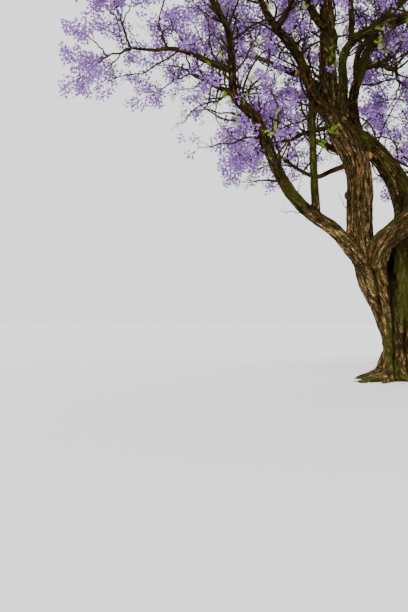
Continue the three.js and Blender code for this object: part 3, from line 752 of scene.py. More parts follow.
wood = {
    "voxel": 0.0235,
    "forkEase": 26, # rounds of smoothing where limbs part
    "forkReach": 1.2, # of the smaller limb's radius
    "ribDepth": 0.15, # of the limb's radius
    "plateDepth": 0.017,
    "knobDepth": 0.014,
    "rootTip": 0.17, # least radius of a surface root, which sinks as it is widened
    "cuts": (3.8, 6.7, 9.35), # heights at which the skin is parted into pieces
    "tips": (9.5, 11.2), # boughs with their tip under these heights go with the lower pieces
}

# The bark's relief: how fine each kind is, across the limb and along it
relief = {
    "ribs": (3.6, 0.42),
    "bends": (1.3, 0.9),
    "bendWidth": 0.3,
    "knobs": (5.5, 2.2),
    "plates": (14, 2.4),
    "plateSwing": (4, 1.5),
    "plateSwingWidth": 0.04,
}

# Deep grooves of the trunk, from the ground up: how far right each lies at which height, and how strong it is
grooves = [
    ((-0.26, 0.0, 0.8), (-0.28, 1.2, 0.9), (-0.27, 1.9, 1.7), (-0.26, 3.9, 1.7)),
    ((0.09, 0.0, 1.0), (0.05, 1.0, 1.0), (0.02, 2.1, 1.0)),
    ((-0.42, 0.0, 1.0), (-0.62, 1.0, 1.0), (-0.68, 2.2, 1.0), (-0.86, 3.3, 1.0), (-0.84, 4.5, 1.0)),
]
grooveShape = {"depth": 0.11, "width": 0.05}

# Wood that has grown in between the trunk and the second stem, at the bottom of their groove
web = {"through": [(-0.22, 0.1, 1.5), (-0.28, 0.1, 2.6), (-0.3, 0.08, 3.75)], "girth": [0.2, 0.17, 0.13]}

# Everything of wood, by name and path, from the ground up
spreading = [rootPath(*root) for root in roots]
woodPaths = [("trunk", LimbPath(trunk["lean"], trunk["girth"]))]
woodPaths += [("root", path) for path in spreading]
woodPaths += [("rootlet", rootletPath(spreading[parent], *shape)) for parent, *shape in rootlets]
woodPaths += limbs.items()

# Where boughs were sawn off: the limb, the height, the way out, the reach from its middle and the radius
stubs = [
    ("main_stem", 6.27, (0.77, -0.64, 0.06), 0.47, 0.1),
    ("left_high_bough", 8.55, (-0.9, -0.4, 0.15), 0.3, 0.075),
    ("left_bough", 9.0, (-0.75, -0.6, 0.3), 0.19, 0.055),
    ("second_stem", 3.5, (0.5, 0.85, 0.1), 0.4, 0.11),
    ("main_stem", 5.2, (-0.7, 0.7, 0.12), 0.44, 0.095),
    ("right_bough", 6.3, (0.3, 0.9, 0.1), 0.3, 0.07),
]


def stubEnds():
    for name, height, way, reach, radius in stubs:
        spots = limbs[name].spots(np.linspace(0, 1, 201))
        start = spots[np.argmin(np.abs(spots[:, 2] - height))]
        yield start, start + unit(np.array(way)) * reach, radius


def woodRods():
    rods = [(np.array([start, end]), [radius * 1.15, radius]) for start, end, radius in stubEnds()]
    rods.append((np.array(web["through"]), web["girth"]))
    for name, path in woodPaths:
        shares = np.linspace(0, 1, max(8, int(path.length / 0.12)))
        spots, radii = path.spots(shares), path.radii(shares)
        if name == "root":
            spread = np.maximum(radii, wood["rootTip"])
            spots[:, 2] -= spread - radii
            radii = spread
        rods.append((spots, radii))
    for mass in crown:
        stem = mass.twigs[0]
        spots = np.array([stem["from"], mass.foot, (mass.foot + stem["end"]) / 2, stem["end"]])
        rods.append((spots, [stem["thick"], stem["thick"] * 0.97, stem["radius"] * 1.1, stem["radius"]]))
    return rods


def frameAlong(headings):
    # Directions square to a path that turn with it and don't twist
    first = unit(np.cross(headings[0], (0.31, 0.95, 0.05)))
    sides = [first]
    for heading in headings[1:]:
        side = sides[-1] - heading * (sides[-1] @ heading)
        sides.append(unit(side))
    sides = np.array(sides)
    return sides, np.cross(headings, sides)


def measureAgainst(path, spots):
    # For places near a limb: gap to its skin, radius, place across and along it, and share of its length
    shares = np.linspace(0, 1, max(12, int(path.length / 0.1)))
    joints = path.spots(shares)
    sides, ups = frameAlong(path.headings(shares))
    spans = np.diff(joints, axis=0)
    best = np.full(len(spots), 1e9)
    which = np.zeros(len(spots), int)
    part = np.zeros(len(spots))
    for i, span in enumerate(spans):
        share = np.clip((spots - joints[i]) @ span / (span @ span), 0, 1)
        gap = np.linalg.norm(spots - joints[i] - share[:, None] * span, axis=1)
        nearer = gap < best
        best[nearer], which[nearer], part[nearer] = gap[nearer], i, share[nearer]
    travel = (which + part) / len(spans)
    radii = path.radii(travel)
    part = part[:, None]
    out = spots - joints[which] - part * spans[which]
    across = [(out * (way[which] * (1 - part) + way[which + 1] * part)).sum(1) for way in (sides, ups)]
    return best - radii, radii, np.stack([*across, travel * path.length], axis=1), travel


def noiseAt(spots, scale=1, shift=(0, 0, 0)):
    return np.array([noise.noise(Vector(spot) * scale + Vector(shift)) for spot in spots.tolist()])


def nearestLimbs(spots):
    # The limb that each place lies on, and the next one to it: gap, radius, place along it, and its number
    both = (2, len(spots))
    held = np.full(both, 9.0), np.full(both, 0.05), np.zeros((*both, 3)), np.zeros(both, int)
    for order, (name, path) in enumerate(woodPaths):
        line = path.spots(np.linspace(0, 1, 60))
        slack = max(path.girth) + 0.5
        chosen = np.nonzero(np.all((spots > line.min(0) - slack) & (spots < line.max(0) + slack), axis=1))[0]
        if not len(chosen):
            continue
        gap, radius, place, travel = measureAgainst(path, spots[chosen])
        shift = (order * 3.1, order * 1.7, 0)
        ragged = noiseAt(spots[chosen], 2.6, shift) * 0.07 + noiseAt(spots[chosen], 12, shift) * 0.012
        gap += ragged * np.minimum(1, radius / 0.3)
        found = gap, radius, place + np.array([3.7, 5.3, 1.9]) * order, np.full(len(chosen), order)
        first = gap < held[0][0, chosen]
        second = ~first & (gap < held[0][1, chosen])
        for rows, values in zip(held, found):
            rows[1, chosen[first]] = rows[0, chosen[first]]
            rows[0, chosen[first]] = values[first]
            rows[1, chosen[second]] = values[second]
    return held


def reliefAt(place, radius):
    # Bark relief at a place on a straightened limb: long ribs parted by creases, knobs and narrow plates
    a, b, c = place

    def laid(kind, shift=0.0, sway=0.0):
        across, along = relief[kind]
        return Vector(((a + sway) * across + shift, (b + sway) * across + shift, c * along))

    wave = noise.noise(laid("bends")) * relief["bendWidth"]
    rib = min(1.0, abs(noise.noise(laid("ribs", wave))) * 2.8)
    knob = noise.noise(laid("knobs"))
    sway = noise.noise(laid("plateSwing")) * relief["plateSwingWidth"]
    distances = noise.voronoi(laid("plates", sway=sway))[0]
    plate = min(1.0, (distances[1] - distances[0]) * 2.4)
    size = min(1.0, radius / 0.3)
    height = (rib - 0.7) * wood["ribDepth"] * radius + knob * wood["knobDepth"] * size**0.5
    # The second value is low in the creases and between the plates, where the bark's tone is darkened as
    # painted shade
    return height + (plate - 0.7) * wood["plateDepth"] * size**0.7, plate * (0.4 + 0.6 * rib)


def trunkFlutes(spots):
    # The trunk's long flutes, deepest at the ground
    path = woodPaths[0][1]
    gap, radii, place, travel = measureAgainst(path, spots)
    out = spots - path.spots(np.linspace(0, 1, 50))[(travel * 49).astype(int)]
    angle = np.arctan2(-out[:, 0], -out[:, 1])
    depth = trunk["fluteDepth"] * (1 - 0.55 * travel)
    swell = depth * np.cos(trunk["flutes"] * angle + trunk["fluteTurn"] + 1.4 * travel)
    fade = np.clip(1 - np.abs(gap) / 0.25, 0, 1) * np.clip((3.7 - spots[:, 2]) / 0.6, 0, 1)
    return swell * radii * fade


def groovesOn(spots, outward):
    # How deep the grooves cut in at each place, on the front and, a hand's width aside, on the back
    depth = np.zeros(len(spots))
    for groove in grooves:
        across, heights, strengths = np.array(groove).T
        strength = np.interp(spots[:, 2], heights, strengths)
        middle = np.interp(spots[:, 2], heights, across) + np.where(outward[:, 1] > 0, 0.13, 0.0)
        wobble = noiseAt(spots * (0, 0, 1.8)) * 0.05
        gap = (spots[:, 0] - middle - wobble) / (grooveShape["width"] * strength)
        facing = np.clip(np.abs(outward[:, 1]) * 2 - 0.4, 0, 1)
        fade = np.clip((heights[-1] - spots[:, 2]) / 0.7, 0, 1) * facing
        depth = np.maximum(depth, np.exp(-gap**2) * fade * strength)
    return depth


def meshFrom(bm, name):
    mesh = bpy.data.meshes.new(name)
    bm.to_mesh(mesh)
    bm.free()
    return mesh


def coordinatesOf(mesh, what="co"):
    held = np.zeros(len(mesh.vertices) * 3, np.float32)
    mesh.vertices.foreach_get(what, held)
    return held.reshape(-1, 3).astype(float)


def growWood():
    blank = bpy.data.objects.new("wood", rodMesh(woodRods(), 14))
    remesh = blank.modifiers.new("one skin", "REMESH")
    remesh.mode = "VOXEL"
    remesh.voxel_size = wood["voxel"]
    remesh.use_smooth_shade = True
    mesh = meshOf(blank)
    blank.modifiers.clear()
    blank.data = mesh
    spots = coordinatesOf(mesh)
    print("wood skin:", len(spots), "corners")
    gaps, radii, places, owners = nearestLimbs(spots)
    parting = np.clip(1 - (gaps[1] - gaps[0]) / (np.minimum(radii[0], radii[1]) * wood["forkReach"]), 0, 1)
    group = blank.vertex_groups.new(name="forks")
    levels = np.round(parting * 10).astype(int)
    for level in range(1, 11):
        group.add(np.nonzero(levels == level)[0].tolist(), level / 10, "REPLACE")
    ease = blank.modifiers.new("ease the forks", "SMOOTH")
    ease.factor = 0.5
    ease.iterations = wood["forkEase"]
    ease.vertex_group = "forks"
    calm = blank.modifiers.new("calm the skin", "SMOOTH")
    calm.factor = 0.4
    calm.iterations = 2
    mesh = meshOf(blank)
    bpy.data.objects.remove(blank)

    spots = coordinatesOf(mesh)
    outward = coordinatesOf(mesh, "normal")
    found = [reliefAt(place, radius) for place, radius in zip(places[0].tolist(), radii[0].tolist())]
    height, plate = np.array(found).T
    mixed = np.nonzero(parting > 0.3)[0]
    for i in mixed.tolist():
        otherHeight, otherPlate = reliefAt(places[1, i], radii[1, i])
        share = 0.5 * (parting[i] - 0.3) / 0.7
        height[i] = height[i] * (1 - share) + otherHeight * share
        plate[i] = plate[i] * (1 - share) + otherPlate * share
    grooved = [name in ("trunk", "root", "rootlet", "main_stem", "second_stem") for name, path in woodPaths]
    groove = groovesOn(spots, outward) * np.array(grooved)[owners[0]]
    spots += outward * (height + trunkFlutes(spots) - groove * grooveShape["depth"])[:, None]
    mesh.vertices.foreach_set("co", spots.astype(np.float32).ravel())
    mesh.update()

    seam = np.clip((parting - 0.86) / 0.14, 0, 1) # the crease where two limbs meet, darkened in the bark's tone as painted shade
    outward = coordinatesOf(mesh, "normal")
    addLayer(mesh, "barkPlace", "FLOAT_VECTOR", "vector", places[0])
    # Painted shade: the bark's tone darkens in the cracks between the relief's plates, down the deep grooves
    # and in the creases of the forks
    recessShade = (0.3 + 0.7 * plate) * np.maximum(0.05, 1 - 0.75 * groove) * (1 - 0.5 * seam)
    addLayer(mesh, "recessShade", "FLOAT", "value", recessShade)
    addLayer(mesh, "moss", "FLOAT", "value", mossOn(spots, outward, owners, parting))
    addLayer(mesh, "dryLit", "FLOAT", "value", dryLitOn(spots, owners, parting))
    return mesh


def addLayer(mesh, name, kind, field, values):
    layer = mesh.attributes.new(name, kind, "POINT")
    layer.data.foreach_set(field, np.asarray(values, np.float32).ravel())


mossShare = {
    "trunk": 0.2, "root": 0.24, "rootlet": 0.3, "main_stem": 0.1, "second_stem": 0.3, "right_bough": 0.3,
    "left_bough": 0.34, "upright_bough": 0.6, "others": 0.32,
    "top": 0.2, # more on upward faces
    "foot": 0.14, # more near the ground
    "fork": 0.16, # less where the boughs part
    "streaks": 0.4, # how far it comes and goes along a limb
}


def shared(rows, parting):
    # A limb's own value, drawn towards its neighbour's where they meet
    return rows[0] + (rows[1] - rows[0]) * 0.5 * parting


def mossOn(spots, outward, owners, parting):
    base = np.array([mossShare.get(name, mossShare["others"]) for name, path in woodPaths])[owners]
    patchy = noiseAt(spots, 0.8) * 0.3 + noiseAt(spots * (2.6, 2.6, 0.6)) * mossShare["streaks"]
    foot = np.clip(1 - spots[:, 2] / 1.6, 0, 1) * mossShare["foot"]
    # More on the right of the trunk, and less on the left of its fork
    right = np.clip(spots[:, 0] * 0.5 + 0.15, -0.1, 0.15) * np.clip((4.4 - spots[:, 2]) / 1.8, 0, 1)
    fork = np.exp(-((spots[:, 2] - 3.9) / 0.8) ** 2) * (spots[:, 0] < -0.2) * mossShare["fork"]
    return shared(base, parting) + patchy + outward[:, 2] * mossShare["top"] + foot + right - fork


# Dry, pale bark, partly a lit copy of the bark's tones: how much of a limb has it, and up to which height.
# Above that height, and on the crown's limbs, the darker damp tones stand as painted shade
dryLitShare = {
    "trunk": (0.95, 9.0), "root": (1.1, 9.0), "rootlet": (1.1, 9.0), "main_stem": (0.6, 12.0),
    "left_bough": (0.7, 4.7), "right_bough": (0.45, 4.7), "second_stem": (0.1, 9.0), "others": (0.1, 20.0),
}


def dryLitOn(spots, owners, parting):
    rows = np.array([dryLitShare.get(name, dryLitShare["others"]) for name, path in woodPaths])[owners]
    # Above its height a limb keeps a tenth of its share and turns to the darker tones: painted shade
    shares = rows[..., 0] * np.clip((rows[..., 1] - spots[:, 2]) / 0.8 + 0.5, 0.1, 1)
    return shared(shares, parting) + noiseAt(spots * (1, 1, 0.5), 1.4) * 0.5


def dropScraps(bm, least=60):
    # Loose bits with few corners, left where a plane grazes the bark
    seen = set()
    for start in bm.verts[:]:
        if start in seen:
            continue
        island = {start}
        ahead = [start]
        while ahead:
            near = {edge.other_vert(vert) for vert in ahead for edge in vert.link_edges} - island
            island |= near
            ahead = list(near)
        seen |= island
        if len(island) < least:
            bmesh.ops.delete(bm, geom=list(island), context="VERTS")


def partSkin(mesh, low, high):
    # The part of a closed skin between two heights, closed again where it is cut
    bm = bmesh.new()
    bm.from_mesh(mesh)
    for height, side in ((low, 1), (high, -1)):
        if height is None:
            continue
        everything = bm.verts[:] + bm.edges[:] + bm.faces[:]
        cut = bmesh.ops.bisect_plane(
            bm, geom=everything, dist=1e-5, plane_co=(0, 0, height), plane_no=(0, 0, side), clear_inner=True
        )
        rim = [part for part in cut["geom_cut"] if isinstance(part, bmesh.types.BMEdge)]
        bmesh.ops.holes_fill(bm, edges=rim, sides=0)
        for edge in rim:
            edge.smooth = False
    dropScraps(bm)
    for face in bm.faces:
        face.smooth = True
    return meshFrom(bm, "skin")


def scarMesh():
    # A sawn face with a lip of bark grown round it, on the end of each stub
    bm = bmesh.new()
    place = bm.verts.layers.float_vector.new("cutPlace")
    profile = [
        (0, 0.012), (0.045, 0.014), (0.08, 0.01), (0.09, 0.024), (0.105, 0.022), (0.125, -0.005),
        (0.13, -0.06),
    ]
    for start, end, radius in stubEnds():
        before = len(bm.verts)
        corners = [bm.verts.new((out, 0, up)) for out, up in profile]
        rim = [bm.edges.new(pair) for pair in zip(corners, corners[1:])]
        bmesh.ops.spin(
            bm, geom=corners + rim, axis=(0, 0, 1), cent=(0, 0, 0), angle=math.tau, steps=24, use_merge=True
        )
        bm.verts.ensure_lookup_table()
        turn = Vector(end - start).to_track_quat("Z", "Y").to_matrix()
        for vert in bm.verts[before:]:
            vert[place] = vert.co
            ragged = 1 + 0.12 * noise.noise(vert.co * 9 + Vector(end))
            vert.co = Vector(end) + turn @ (vert.co * ragged * radius / 0.1)
    bmesh.ops.remove_doubles(bm, verts=bm.verts, dist=0.0005)
    bmesh.ops.recalc_face_normals(bm, faces=bm.faces)
    for face in bm.faces:
        face.smooth = True
    return meshFrom(bm, "scars")


skin = growWood()
levels = (0.0, *wood["cuts"], None)
nodesAt = [["trunk", "second_stem"], [], [], []]
for name, path in limbs.items():
    if name != "second_stem":
        top = path.places[-2][2]
        nodesAt[1 + sum(top >= height for height in wood["tips"])].append(name)
for order, name in enumerate(("trunk_and_roots", "low_forks", "middle_boughs", "high_boughs")):
    part = partSkin(skin, levels[order], levels[order + 1])
    addPiece(name, part, [bark], nodesAt[order])
addPiece("pruning_scars", scarMesh(), [cutWoodMaterial()])
bpy.data.meshes.remove(skin)

# Crown: finer twigs within each spray, panicles of bell flowers on them, side shoots and a few fresh leaves

chance = np.random.default_rng(2611)
leafTurn = 2.4 # radians from one stalk to the next round a stem, as in most plants
upward = np.array((0.0, 0.0, 1.0))
spraying = {
    "panicles": 9.4, # in a spray of the usual length
    "usualSpray": 1.1,
    "fuller": {"back_low": 2.2, "stem_back": 1.5, "back_right": 1.2}, # masses with more of them
    "flowers": 9, # on each panicle
    "panicleLength": 0.29,
    "panicleWidth": 0.1, # between the feet of the flowers
    "flowerSize": (0.084, 0.118), # larger than life, as far as their number needs
    "lowest": 6, # metres above the ground, outside the sprays
    "leafShare": 0.1, # of the sprays that also carry fresh leaves
    "leafSize": (0.15, 0.27),
}
gnarled = {
    "spacing": 0.43, # of crooked branches along every limb
    "bareUnder": 0.3, # share of a limb's length with none
    "lengths": (1.1, 2.7),
    "thick": (0.022, 0.042),
    "steps": 6,
    "bend": 0.55,
    "lowest": 5.4, # metres above the ground, where they start
    "clearUnder": 5.2, # metres above the ground, where none may hang
    "bloomShare": 0.38, # of their twigs
    "leafShare": 0.12, # of the rest
    "sprigs": {"sizes": (0.8, 1.1), "stalk": 0.008, "slack": 0.04, "lift": 0.35, "bare": (0.0085, 0.004)},
    "usual": 1, # rounds of them on a limb
    "more": {
        "right_bough": 2, "right_high_bough": 2, "back_right_bough": 2, "far_right_bough": 2,
        "left_high_bough": 2, "left_bough": 3, "upright_bough": 2, "left_low_offshoot": 2,
        "left_back_offshoot": 3, "back_low_offshoot": 4, "stem_back_offshoot": 3, "middle_back_offshoot": 2,
    },
}
shooting = {
    "spacing": 0.66,
    "bareUnder": 0.16,
    "lengths": (0.4, 1.1),
    "thick": 0.017,
    "bloomShare": 0.4,
    "leafShare": 0.28,
    "sprigs": {"sizes": (0.75, 1.05), "stalk": 0.0066, "slack": 0.03, "lift": 0.4, "bare": (0.008, 0.0035)},
    "lowest": 4.3,
}
# Thickets of bare shoots: the stem, the height and how many
brooms = [("main_stem", 9.35, 60), ("right_high_bough", 8.6, 24), ("main_stem", 7.6, 30)]
twigRods = []
branchRods = []
panicles = [] # foot, heading, length, group
leaves = [] # foot, heading, length
lowCorner, highCorner = (np.array(corner) for corner in cadBox)
# How far inside the solids' box each kind of thing stays
margins = {"rods": 0.03, "flowers": 0.06, "leaves": 0.05, "panicles": 0.11, "branches": 0.53}


def insideBox(spots, kind):
    slack = margins[kind]
    return np.all((spots > lowCorner + slack) & (spots < highCorner - slack), axis=-1)


def layRod(rods, spots, radii):
    rods.append((np.clip(spots, lowCorner + margins["rods"], highCorner - margins["rods"]), radii))


def crooked(start, end, kinks, sway):
    # A zigzag way from one place to another, as jacaranda twigs grow
    span = end - start
    length = np.linalg.norm(span)
    shares = np.linspace(0, 1, kinks + 2)
    spots = start + shares[:, None] * span
    for i in range(1, kinks + 1):
        push = chance.normal(size=3)
        push -= span * (push @ span) / length**2
        spots[i] += unit(push) * length * sway * chance.uniform(0.5, 1.0)
    return spots


# Limbs that blossom on their near side leaves in sight, up to a height
inSight = {
    "limbs": (
        "main_stem", "second_stem", "left_bough", "upright_bough", "left_high_bough", "right_high_bough",
        "back_right_bough", "spire_bough", "left_top_bough", "low_back_bough",
    ),
    "below": 10.9,
    "margin": 0.15, # beside the limb
    "kept": 0.12, # share of the blossom that hangs there all the same
}


def seenAt(spots):
    # Where places show in the view, and how far off they are
    ways = spots - np.array(view["place"])
    return ways[..., 0] / ways[..., 1], ways[..., 2] / ways[..., 1], ways[..., 1]


middlesInOrder = np.array([mass.middle for mass in crown])
sightSpots = np.vstack([limbs[name].spots(np.linspace(0, 1, 61)) for name in inSight["limbs"]])
sightRadii = np.concatenate([limbs[name].radii(np.linspace(0, 1, 61)) for name in inSight["limbs"]])
sightRadii = sightRadii[sightSpots[:, 2] < inSight["below"]]
sightAcross, sightUp, sightAway = seenAt(sightSpots[sightSpots[:, 2] < inSight["below"]])


def hidesStems(spot):
    across, up, away = seenAt(spot)
    beside = np.hypot(across - sightAcross, up - sightUp) * sightAway < sightRadii + inSight["margin"]
    return bool(np.any(beside & (away < sightAway - 0.1)))


def addPanicle(joint, middle, foot, heading, length, group, thick=0.0066):
    tip = foot + heading * length * 0.92
    if not insideBox(tip, "panicles"):
        return
    if hidesStems(foot + heading * length / 2) and chance.random() > inSight["kept"]:
        return
    layRod(twigRods, np.array([joint, middle, foot, tip]), (thick, thick * 0.85, thick * 0.7, thick * 0.3))
    panicles.append((foot, heading, length, group))


def addLeafTuft(foot, heading, count):
    for i in range(count):
        turn = chance.normal(size=3) * 0.75
        leaves.append((foot, unit(heading + turn + upward * 0.15), chance.uniform(*spraying["leafSize"])))


def fillSpray(spray, group, fullness):
    start, heading, keel, length = (spray[key] for key in ("start", "heading", "keel", "length"))
    side = np.cross(heading, keel)
    waist = massShape["sprayWaist"]
    axis = np.vstack([spray["from"], crooked(start, start + heading * length * 0.9, 3, 0.07)])
    marks = (-0.05, 0, 0.225, 0.45, 0.675, 0.9) # the shares of the spray that the axis passes
    thick = min(0.019, spray["thick"] * 0.75)
    layRod(twigRods, axis, np.linspace(thick, 0.005, len(axis)))
    usual = spraying["panicles"] * (length / spraying["usualSpray"]) ** 1.5
    count = max(4, round(usual * fullness))
    for i in range(count):
        share = 0.2 + 0.8 * (i + chance.random()) / count
        turn = i * leafTurn + chance.uniform(-0.4, 0.4)
        swell = max(0.16, min(share / waist, (1 - share) / (1 - waist)))
        wide = math.cos(turn) * length * massShape["sprayWidth"] / 2 * swell
        deep = math.sin(turn) * length * massShape["sprayDepth"] * swell
        deep *= 0.65 if deep > 0 else 0.35
        offset = (side * wide + keel * deep) * chance.uniform(0.75, 1.1)
        spot = start + heading * length * share + offset
        way = unit(heading * 0.6 + unit(offset) * 0.75 + upward * 0.3 + chance.normal(size=3) * 0.15)
        size = spraying["panicleLength"] * chance.uniform(0.8, 1.15)
        foot = spot - way * size * 0.45
        mark = max(0.0, share - 0.24)
        joint = np.array([np.interp(mark, marks, axis[:, k]) for k in range(3)])
        middle = (joint + foot) / 2 + chance.normal(size=3) * 0.025
        addPanicle(joint, middle, foot, way, size, group)
    if chance.random() < spraying["leafShare"]:
        addLeafTuft(axis[2], unit(heading + upward * 0.3), 5)


def addSprig(joint, far, way, look):
    # A panicle on a short stalk of its own
    size = spraying["panicleLength"] * chance.uniform(*look["sizes"])
    middle = (joint + far) / 2 + chance.normal(size=3) * look["slack"]
    group = crown[int(np.argmin(np.linalg.norm(middlesInOrder - far, axis=1)))].group
    addPanicle(joint, middle, far, unit(way + upward * look["lift"]), size, group, look["stalk"])


def addBareTwig(joint, far, look):
    layRod(twigRods, crooked(joint, far, 2, 0.15), np.linspace(*look["bare"], 4))


def wander(start, heading, length):
    # A branch that keeps turning as it goes, with its corners rounded
    spots = [start]
    steps = gnarled["steps"]
    for i in range(steps):
        turn = chance.normal(size=3)
        turn = unit(turn - heading * (turn @ heading))
        heading = unit(heading + turn * gnarled["bend"] * chance.uniform(0.5, 1.3) + upward * 0.1)
        spots.append(spots[-1] + heading * length / steps * chance.uniform(0.75, 1.25))
    spots = np.array(spots)
    inner = [spots[:1]]
    for a, b in zip(spots[:-1], spots[1:]):
        inner.append([a * 0.75 + b * 0.25, a * 0.25 + b * 0.75])
    return np.vstack(inner + [spots[-1:]])


def placesAlong(path, habit):
    # Where shoots leave a limb: the place, the way out of it, the way along it and its radius there
    count = max(1, int(path.length * (1 - habit["bareUnder"]) / habit["spacing"]))
    for i in range(count):
        share = habit["bareUnder"] + (1 - habit["bareUnder"]) * (i + chance.random()) / count
        spot = path.spots(share)[0]
        along = path.headings(share)[0]
        outward = chance.normal(size=3)
        outward = unit(outward - along * (outward @ along) + upward * 0.25)
        if spot[2] > habit["lowest"]:
            yield spot, outward, along, path.radii(share)[0]


def growGnarled():
    # Crooked branches between the limbs, with twigs that end in blossom
    places = []
    for name, path in limbs.items():
        for again in range(gnarled["more"].get(name, gnarled["usual"])):
            places += placesAlong(path, gnarled)
    for spot, outward, along, radius in places:
        length = chance.uniform(*gnarled["lengths"])
        thick = min(chance.uniform(*gnarled["thick"]), radius * 0.6)
        stem = wander(spot + outward * radius * 0.6, unit(outward + along * 0.5 + upward * 0.2), length)
        if not insideBox(stem, "branches").all() or stem[:, 2].min() < gnarled["clearUnder"]:
            continue
        layRod(branchRods, stem, np.linspace(thick, 0.009, len(stem)))
        for k in range(4, len(stem)):
            fork = unit(stem[k] - stem[k - 1] + chance.normal(size=3) * length / 9 + upward * 0.03)
            far = stem[k] + fork * length * chance.uniform(0.16, 0.34)
            if chance.random() < gnarled["bloomShare"] and far[2] > spraying["lowest"]:
                addSprig(stem[k], far, fork, gnarled["sprigs"])
            else:
                addBareTwig(stem[k], far, gnarled["sprigs"])
                if chance.random() < gnarled["leafShare"]:
                    addLeafTuft(far, fork, 3)


def growSideShoots():
    # Shoots that leave the limbs between their forks: bare, in bloom, or with fresh leaves
    for path in limbs.values():
        for spot, outward, along, radius in placesAlong(path, shooting):
            length = chance.uniform(*shooting["lengths"])
            heading = unit(outward + along * 0.5 + upward * 0.35)
            start = spot + outward * radius * 0.8
            thick = shooting["thick"] * min(1.0, 0.6 + radius * 2.5)
            stem = crooked(start, start + heading * length, 3, 0.12)
            layRod(twigRods, stem, np.linspace(thick, 0.006, len(stem)))
            kind = chance.random()
            blooms = kind < shooting["bloomShare"] and spot[2] > spraying["lowest"]
            leafy = kind > 1 - shooting["leafShare"]
            for k in range(1, len(stem)):
                fork = unit(heading + chance.normal(size=3) * 0.7 + upward * 0.2)
                far = stem[k] + fork * length * chance.uniform(0.25, 0.45)
                if blooms:
                    addSprig(stem[k], far, fork, shooting["sprigs"])
                else:
                    addBareTwig(stem[k], far, shooting["sprigs"])
                if leafy and k > 1:
                    addLeafTuft(stem[k], heading, 3)


def growBrooms():
    # Thickets of thin bare shoots that ring a stem
    for name, height, count in brooms:
        path = limbs[name]
        spots = path.spots(np.linspace(0, 1, 201))
        share = np.argmin(np.abs(spots[:, 2] - height)) / 200
        for i in range(count):
            at = share + chance.normal() * 0.016
            along = path.headings(at)[0]
            outward = chance.normal(size=3)
            outward = unit(outward - along * (outward @ along))
            start = path.spots(at)[0] + outward * path.radii(at)[0] * 0.9
            aside = np.cross(along, outward) * chance.choice((-0.9, 0.9))
            heading = unit(outward + aside + chance.normal(size=3) * 0.3)
            twig = crooked(start, start + heading * chance.uniform(0.2, 0.55), 2, 0.14)
            layRod(twigRods, twig, np.linspace(0.008, 0.003, len(twig)))


for mass in crown:
    for twig in mass.twigs[1:]:
        spots = crooked(twig["start"], twig["end"], 4, 0.07)
        spots = np.vstack([twig["from"], spots])
        layRod(branchRods, spots, np.linspace(twig["radius"] * 1.3, twig["radius"] * 0.95, len(spots)))
    for spray in mass.sprays:
        fillSpray(spray, mass.group, spraying["fuller"].get(mass.name, 1))
growGnarled()
growSideShoots()
growBrooms()
for mesh, name in ((rodMesh(branchRods, 6), "crown_branches"), (rodMesh(twigRods, 3), "blossom_twigs")):
    for face in mesh.polygons:
        face.use_smooth = True
    addPiece(name, mesh, [twigBark])
print("twigs laid:", len(twigRods), "panicles:", len(panicles), "leaves:", len(leaves))


def flowerPattern():
    # A bell of five sides that opens into five blunt lobes: foot at the origin, mouth along +Z, one unit long
    bm = bmesh.new()
    made = bmesh.ops.create_circle(bm, cap_ends=True, cap_tris=True, segments=5, radius=0.22)
    foot = max(made["verts"], key=lambda vert: len(vert.link_edges))
    rim = [vert for vert in bm.verts if vert is not foot]
    bmesh.ops.translate(bm, verts=rim, vec=(0, 0, 0.64))
    sides = [edge for edge in bm.edges if foot not in edge.verts]
    for side in sides:
        middle = (side.verts[0].co + side.verts[1].co) / 2
        grown = bmesh.ops.extrude_edge_only(bm, edges=[side])["geom"]
        lobe = [part for part in grown if isinstance(part, bmesh.types.BMVert)]
        bmesh.ops.scale(bm, vec=(0.8, 0.8, 1), space=Matrix.Translation(-middle), verts=lobe)
        bmesh.ops.translate(bm, verts=lobe, vec=(middle.x * 1.35, middle.y * 1.35, 0.2))
    for face in bm.faces:
        face.material_index = 0 if foot in face.verts else 1
    bmesh.ops.recalc_face_normals(bm, faces=bm.faces)
    return meshFrom(bm, "bell")


def leafPattern():
    # A leaf of narrow leaflets in pairs along an arching rib: foot at the origin, tip along +Z, one unit long
    bm = bmesh.new()
    pairs = 7
    blades = [(0.5, 0.0, 0.018, 0.5, 0.0)] # the rib: height along, sideways, half width, half length, lean
    for i in range(pairs):
        height = 0.14 + 0.78 * i / (pairs - 1)
        reach = 0.23 * math.sin(math.pi * (0.2 + 0.62 * i / (pairs - 1)))
        for side in (-1, 1):
            blades.append((height + reach * 0.25, side * reach * 0.52, 0.042, reach * 0.56, side * 1.15))
    for height, sideways, halfWidth, halfLength, lean in blades:
        blade = bmesh.ops.create_circle(bm, cap_ends=True, segments=4, radius=1)["verts"]
        bmesh.ops.scale(bm, vec=(halfWidth, halfLength, 1), verts=blade)
        bmesh.ops.rotate(bm, matrix=Matrix.Rotation(-lean, 3, "Z"), verts=blade)
        bmesh.ops.translate(bm, vec=(sideways, height, 0), verts=blade)
    for vert in bm.verts:
        along, across = vert.co.y, vert.co.x
        vert.co = (across, -0.3 * along**2 + 0.5 * across**2, along * 0.94)
    return meshFrom(bm, "leaf")


def framesFor(headings, turns):
    # For each heading, three directions square to each other, the last of them the heading
    helper = np.where(np.abs(headings[:, 2:3]) < 0.9, upward, np.array((1.0, 0.0, 0.0)))
    sides = np.cross(helper, headings)
    sides /= np.linalg.norm(sides, axis=1)[:, None]
    ups = np.cross(headings, sides)
    cos, sin = np.cos(turns)[:, None], np.sin(turns)[:, None]
    return np.stack([sides * cos + ups * sin, ups * cos - sides * sin, headings], axis=2)


def numbersOf(items, what):
    held = np.zeros(len(items), np.int32)
    items.foreach_get(what, held)
    return held


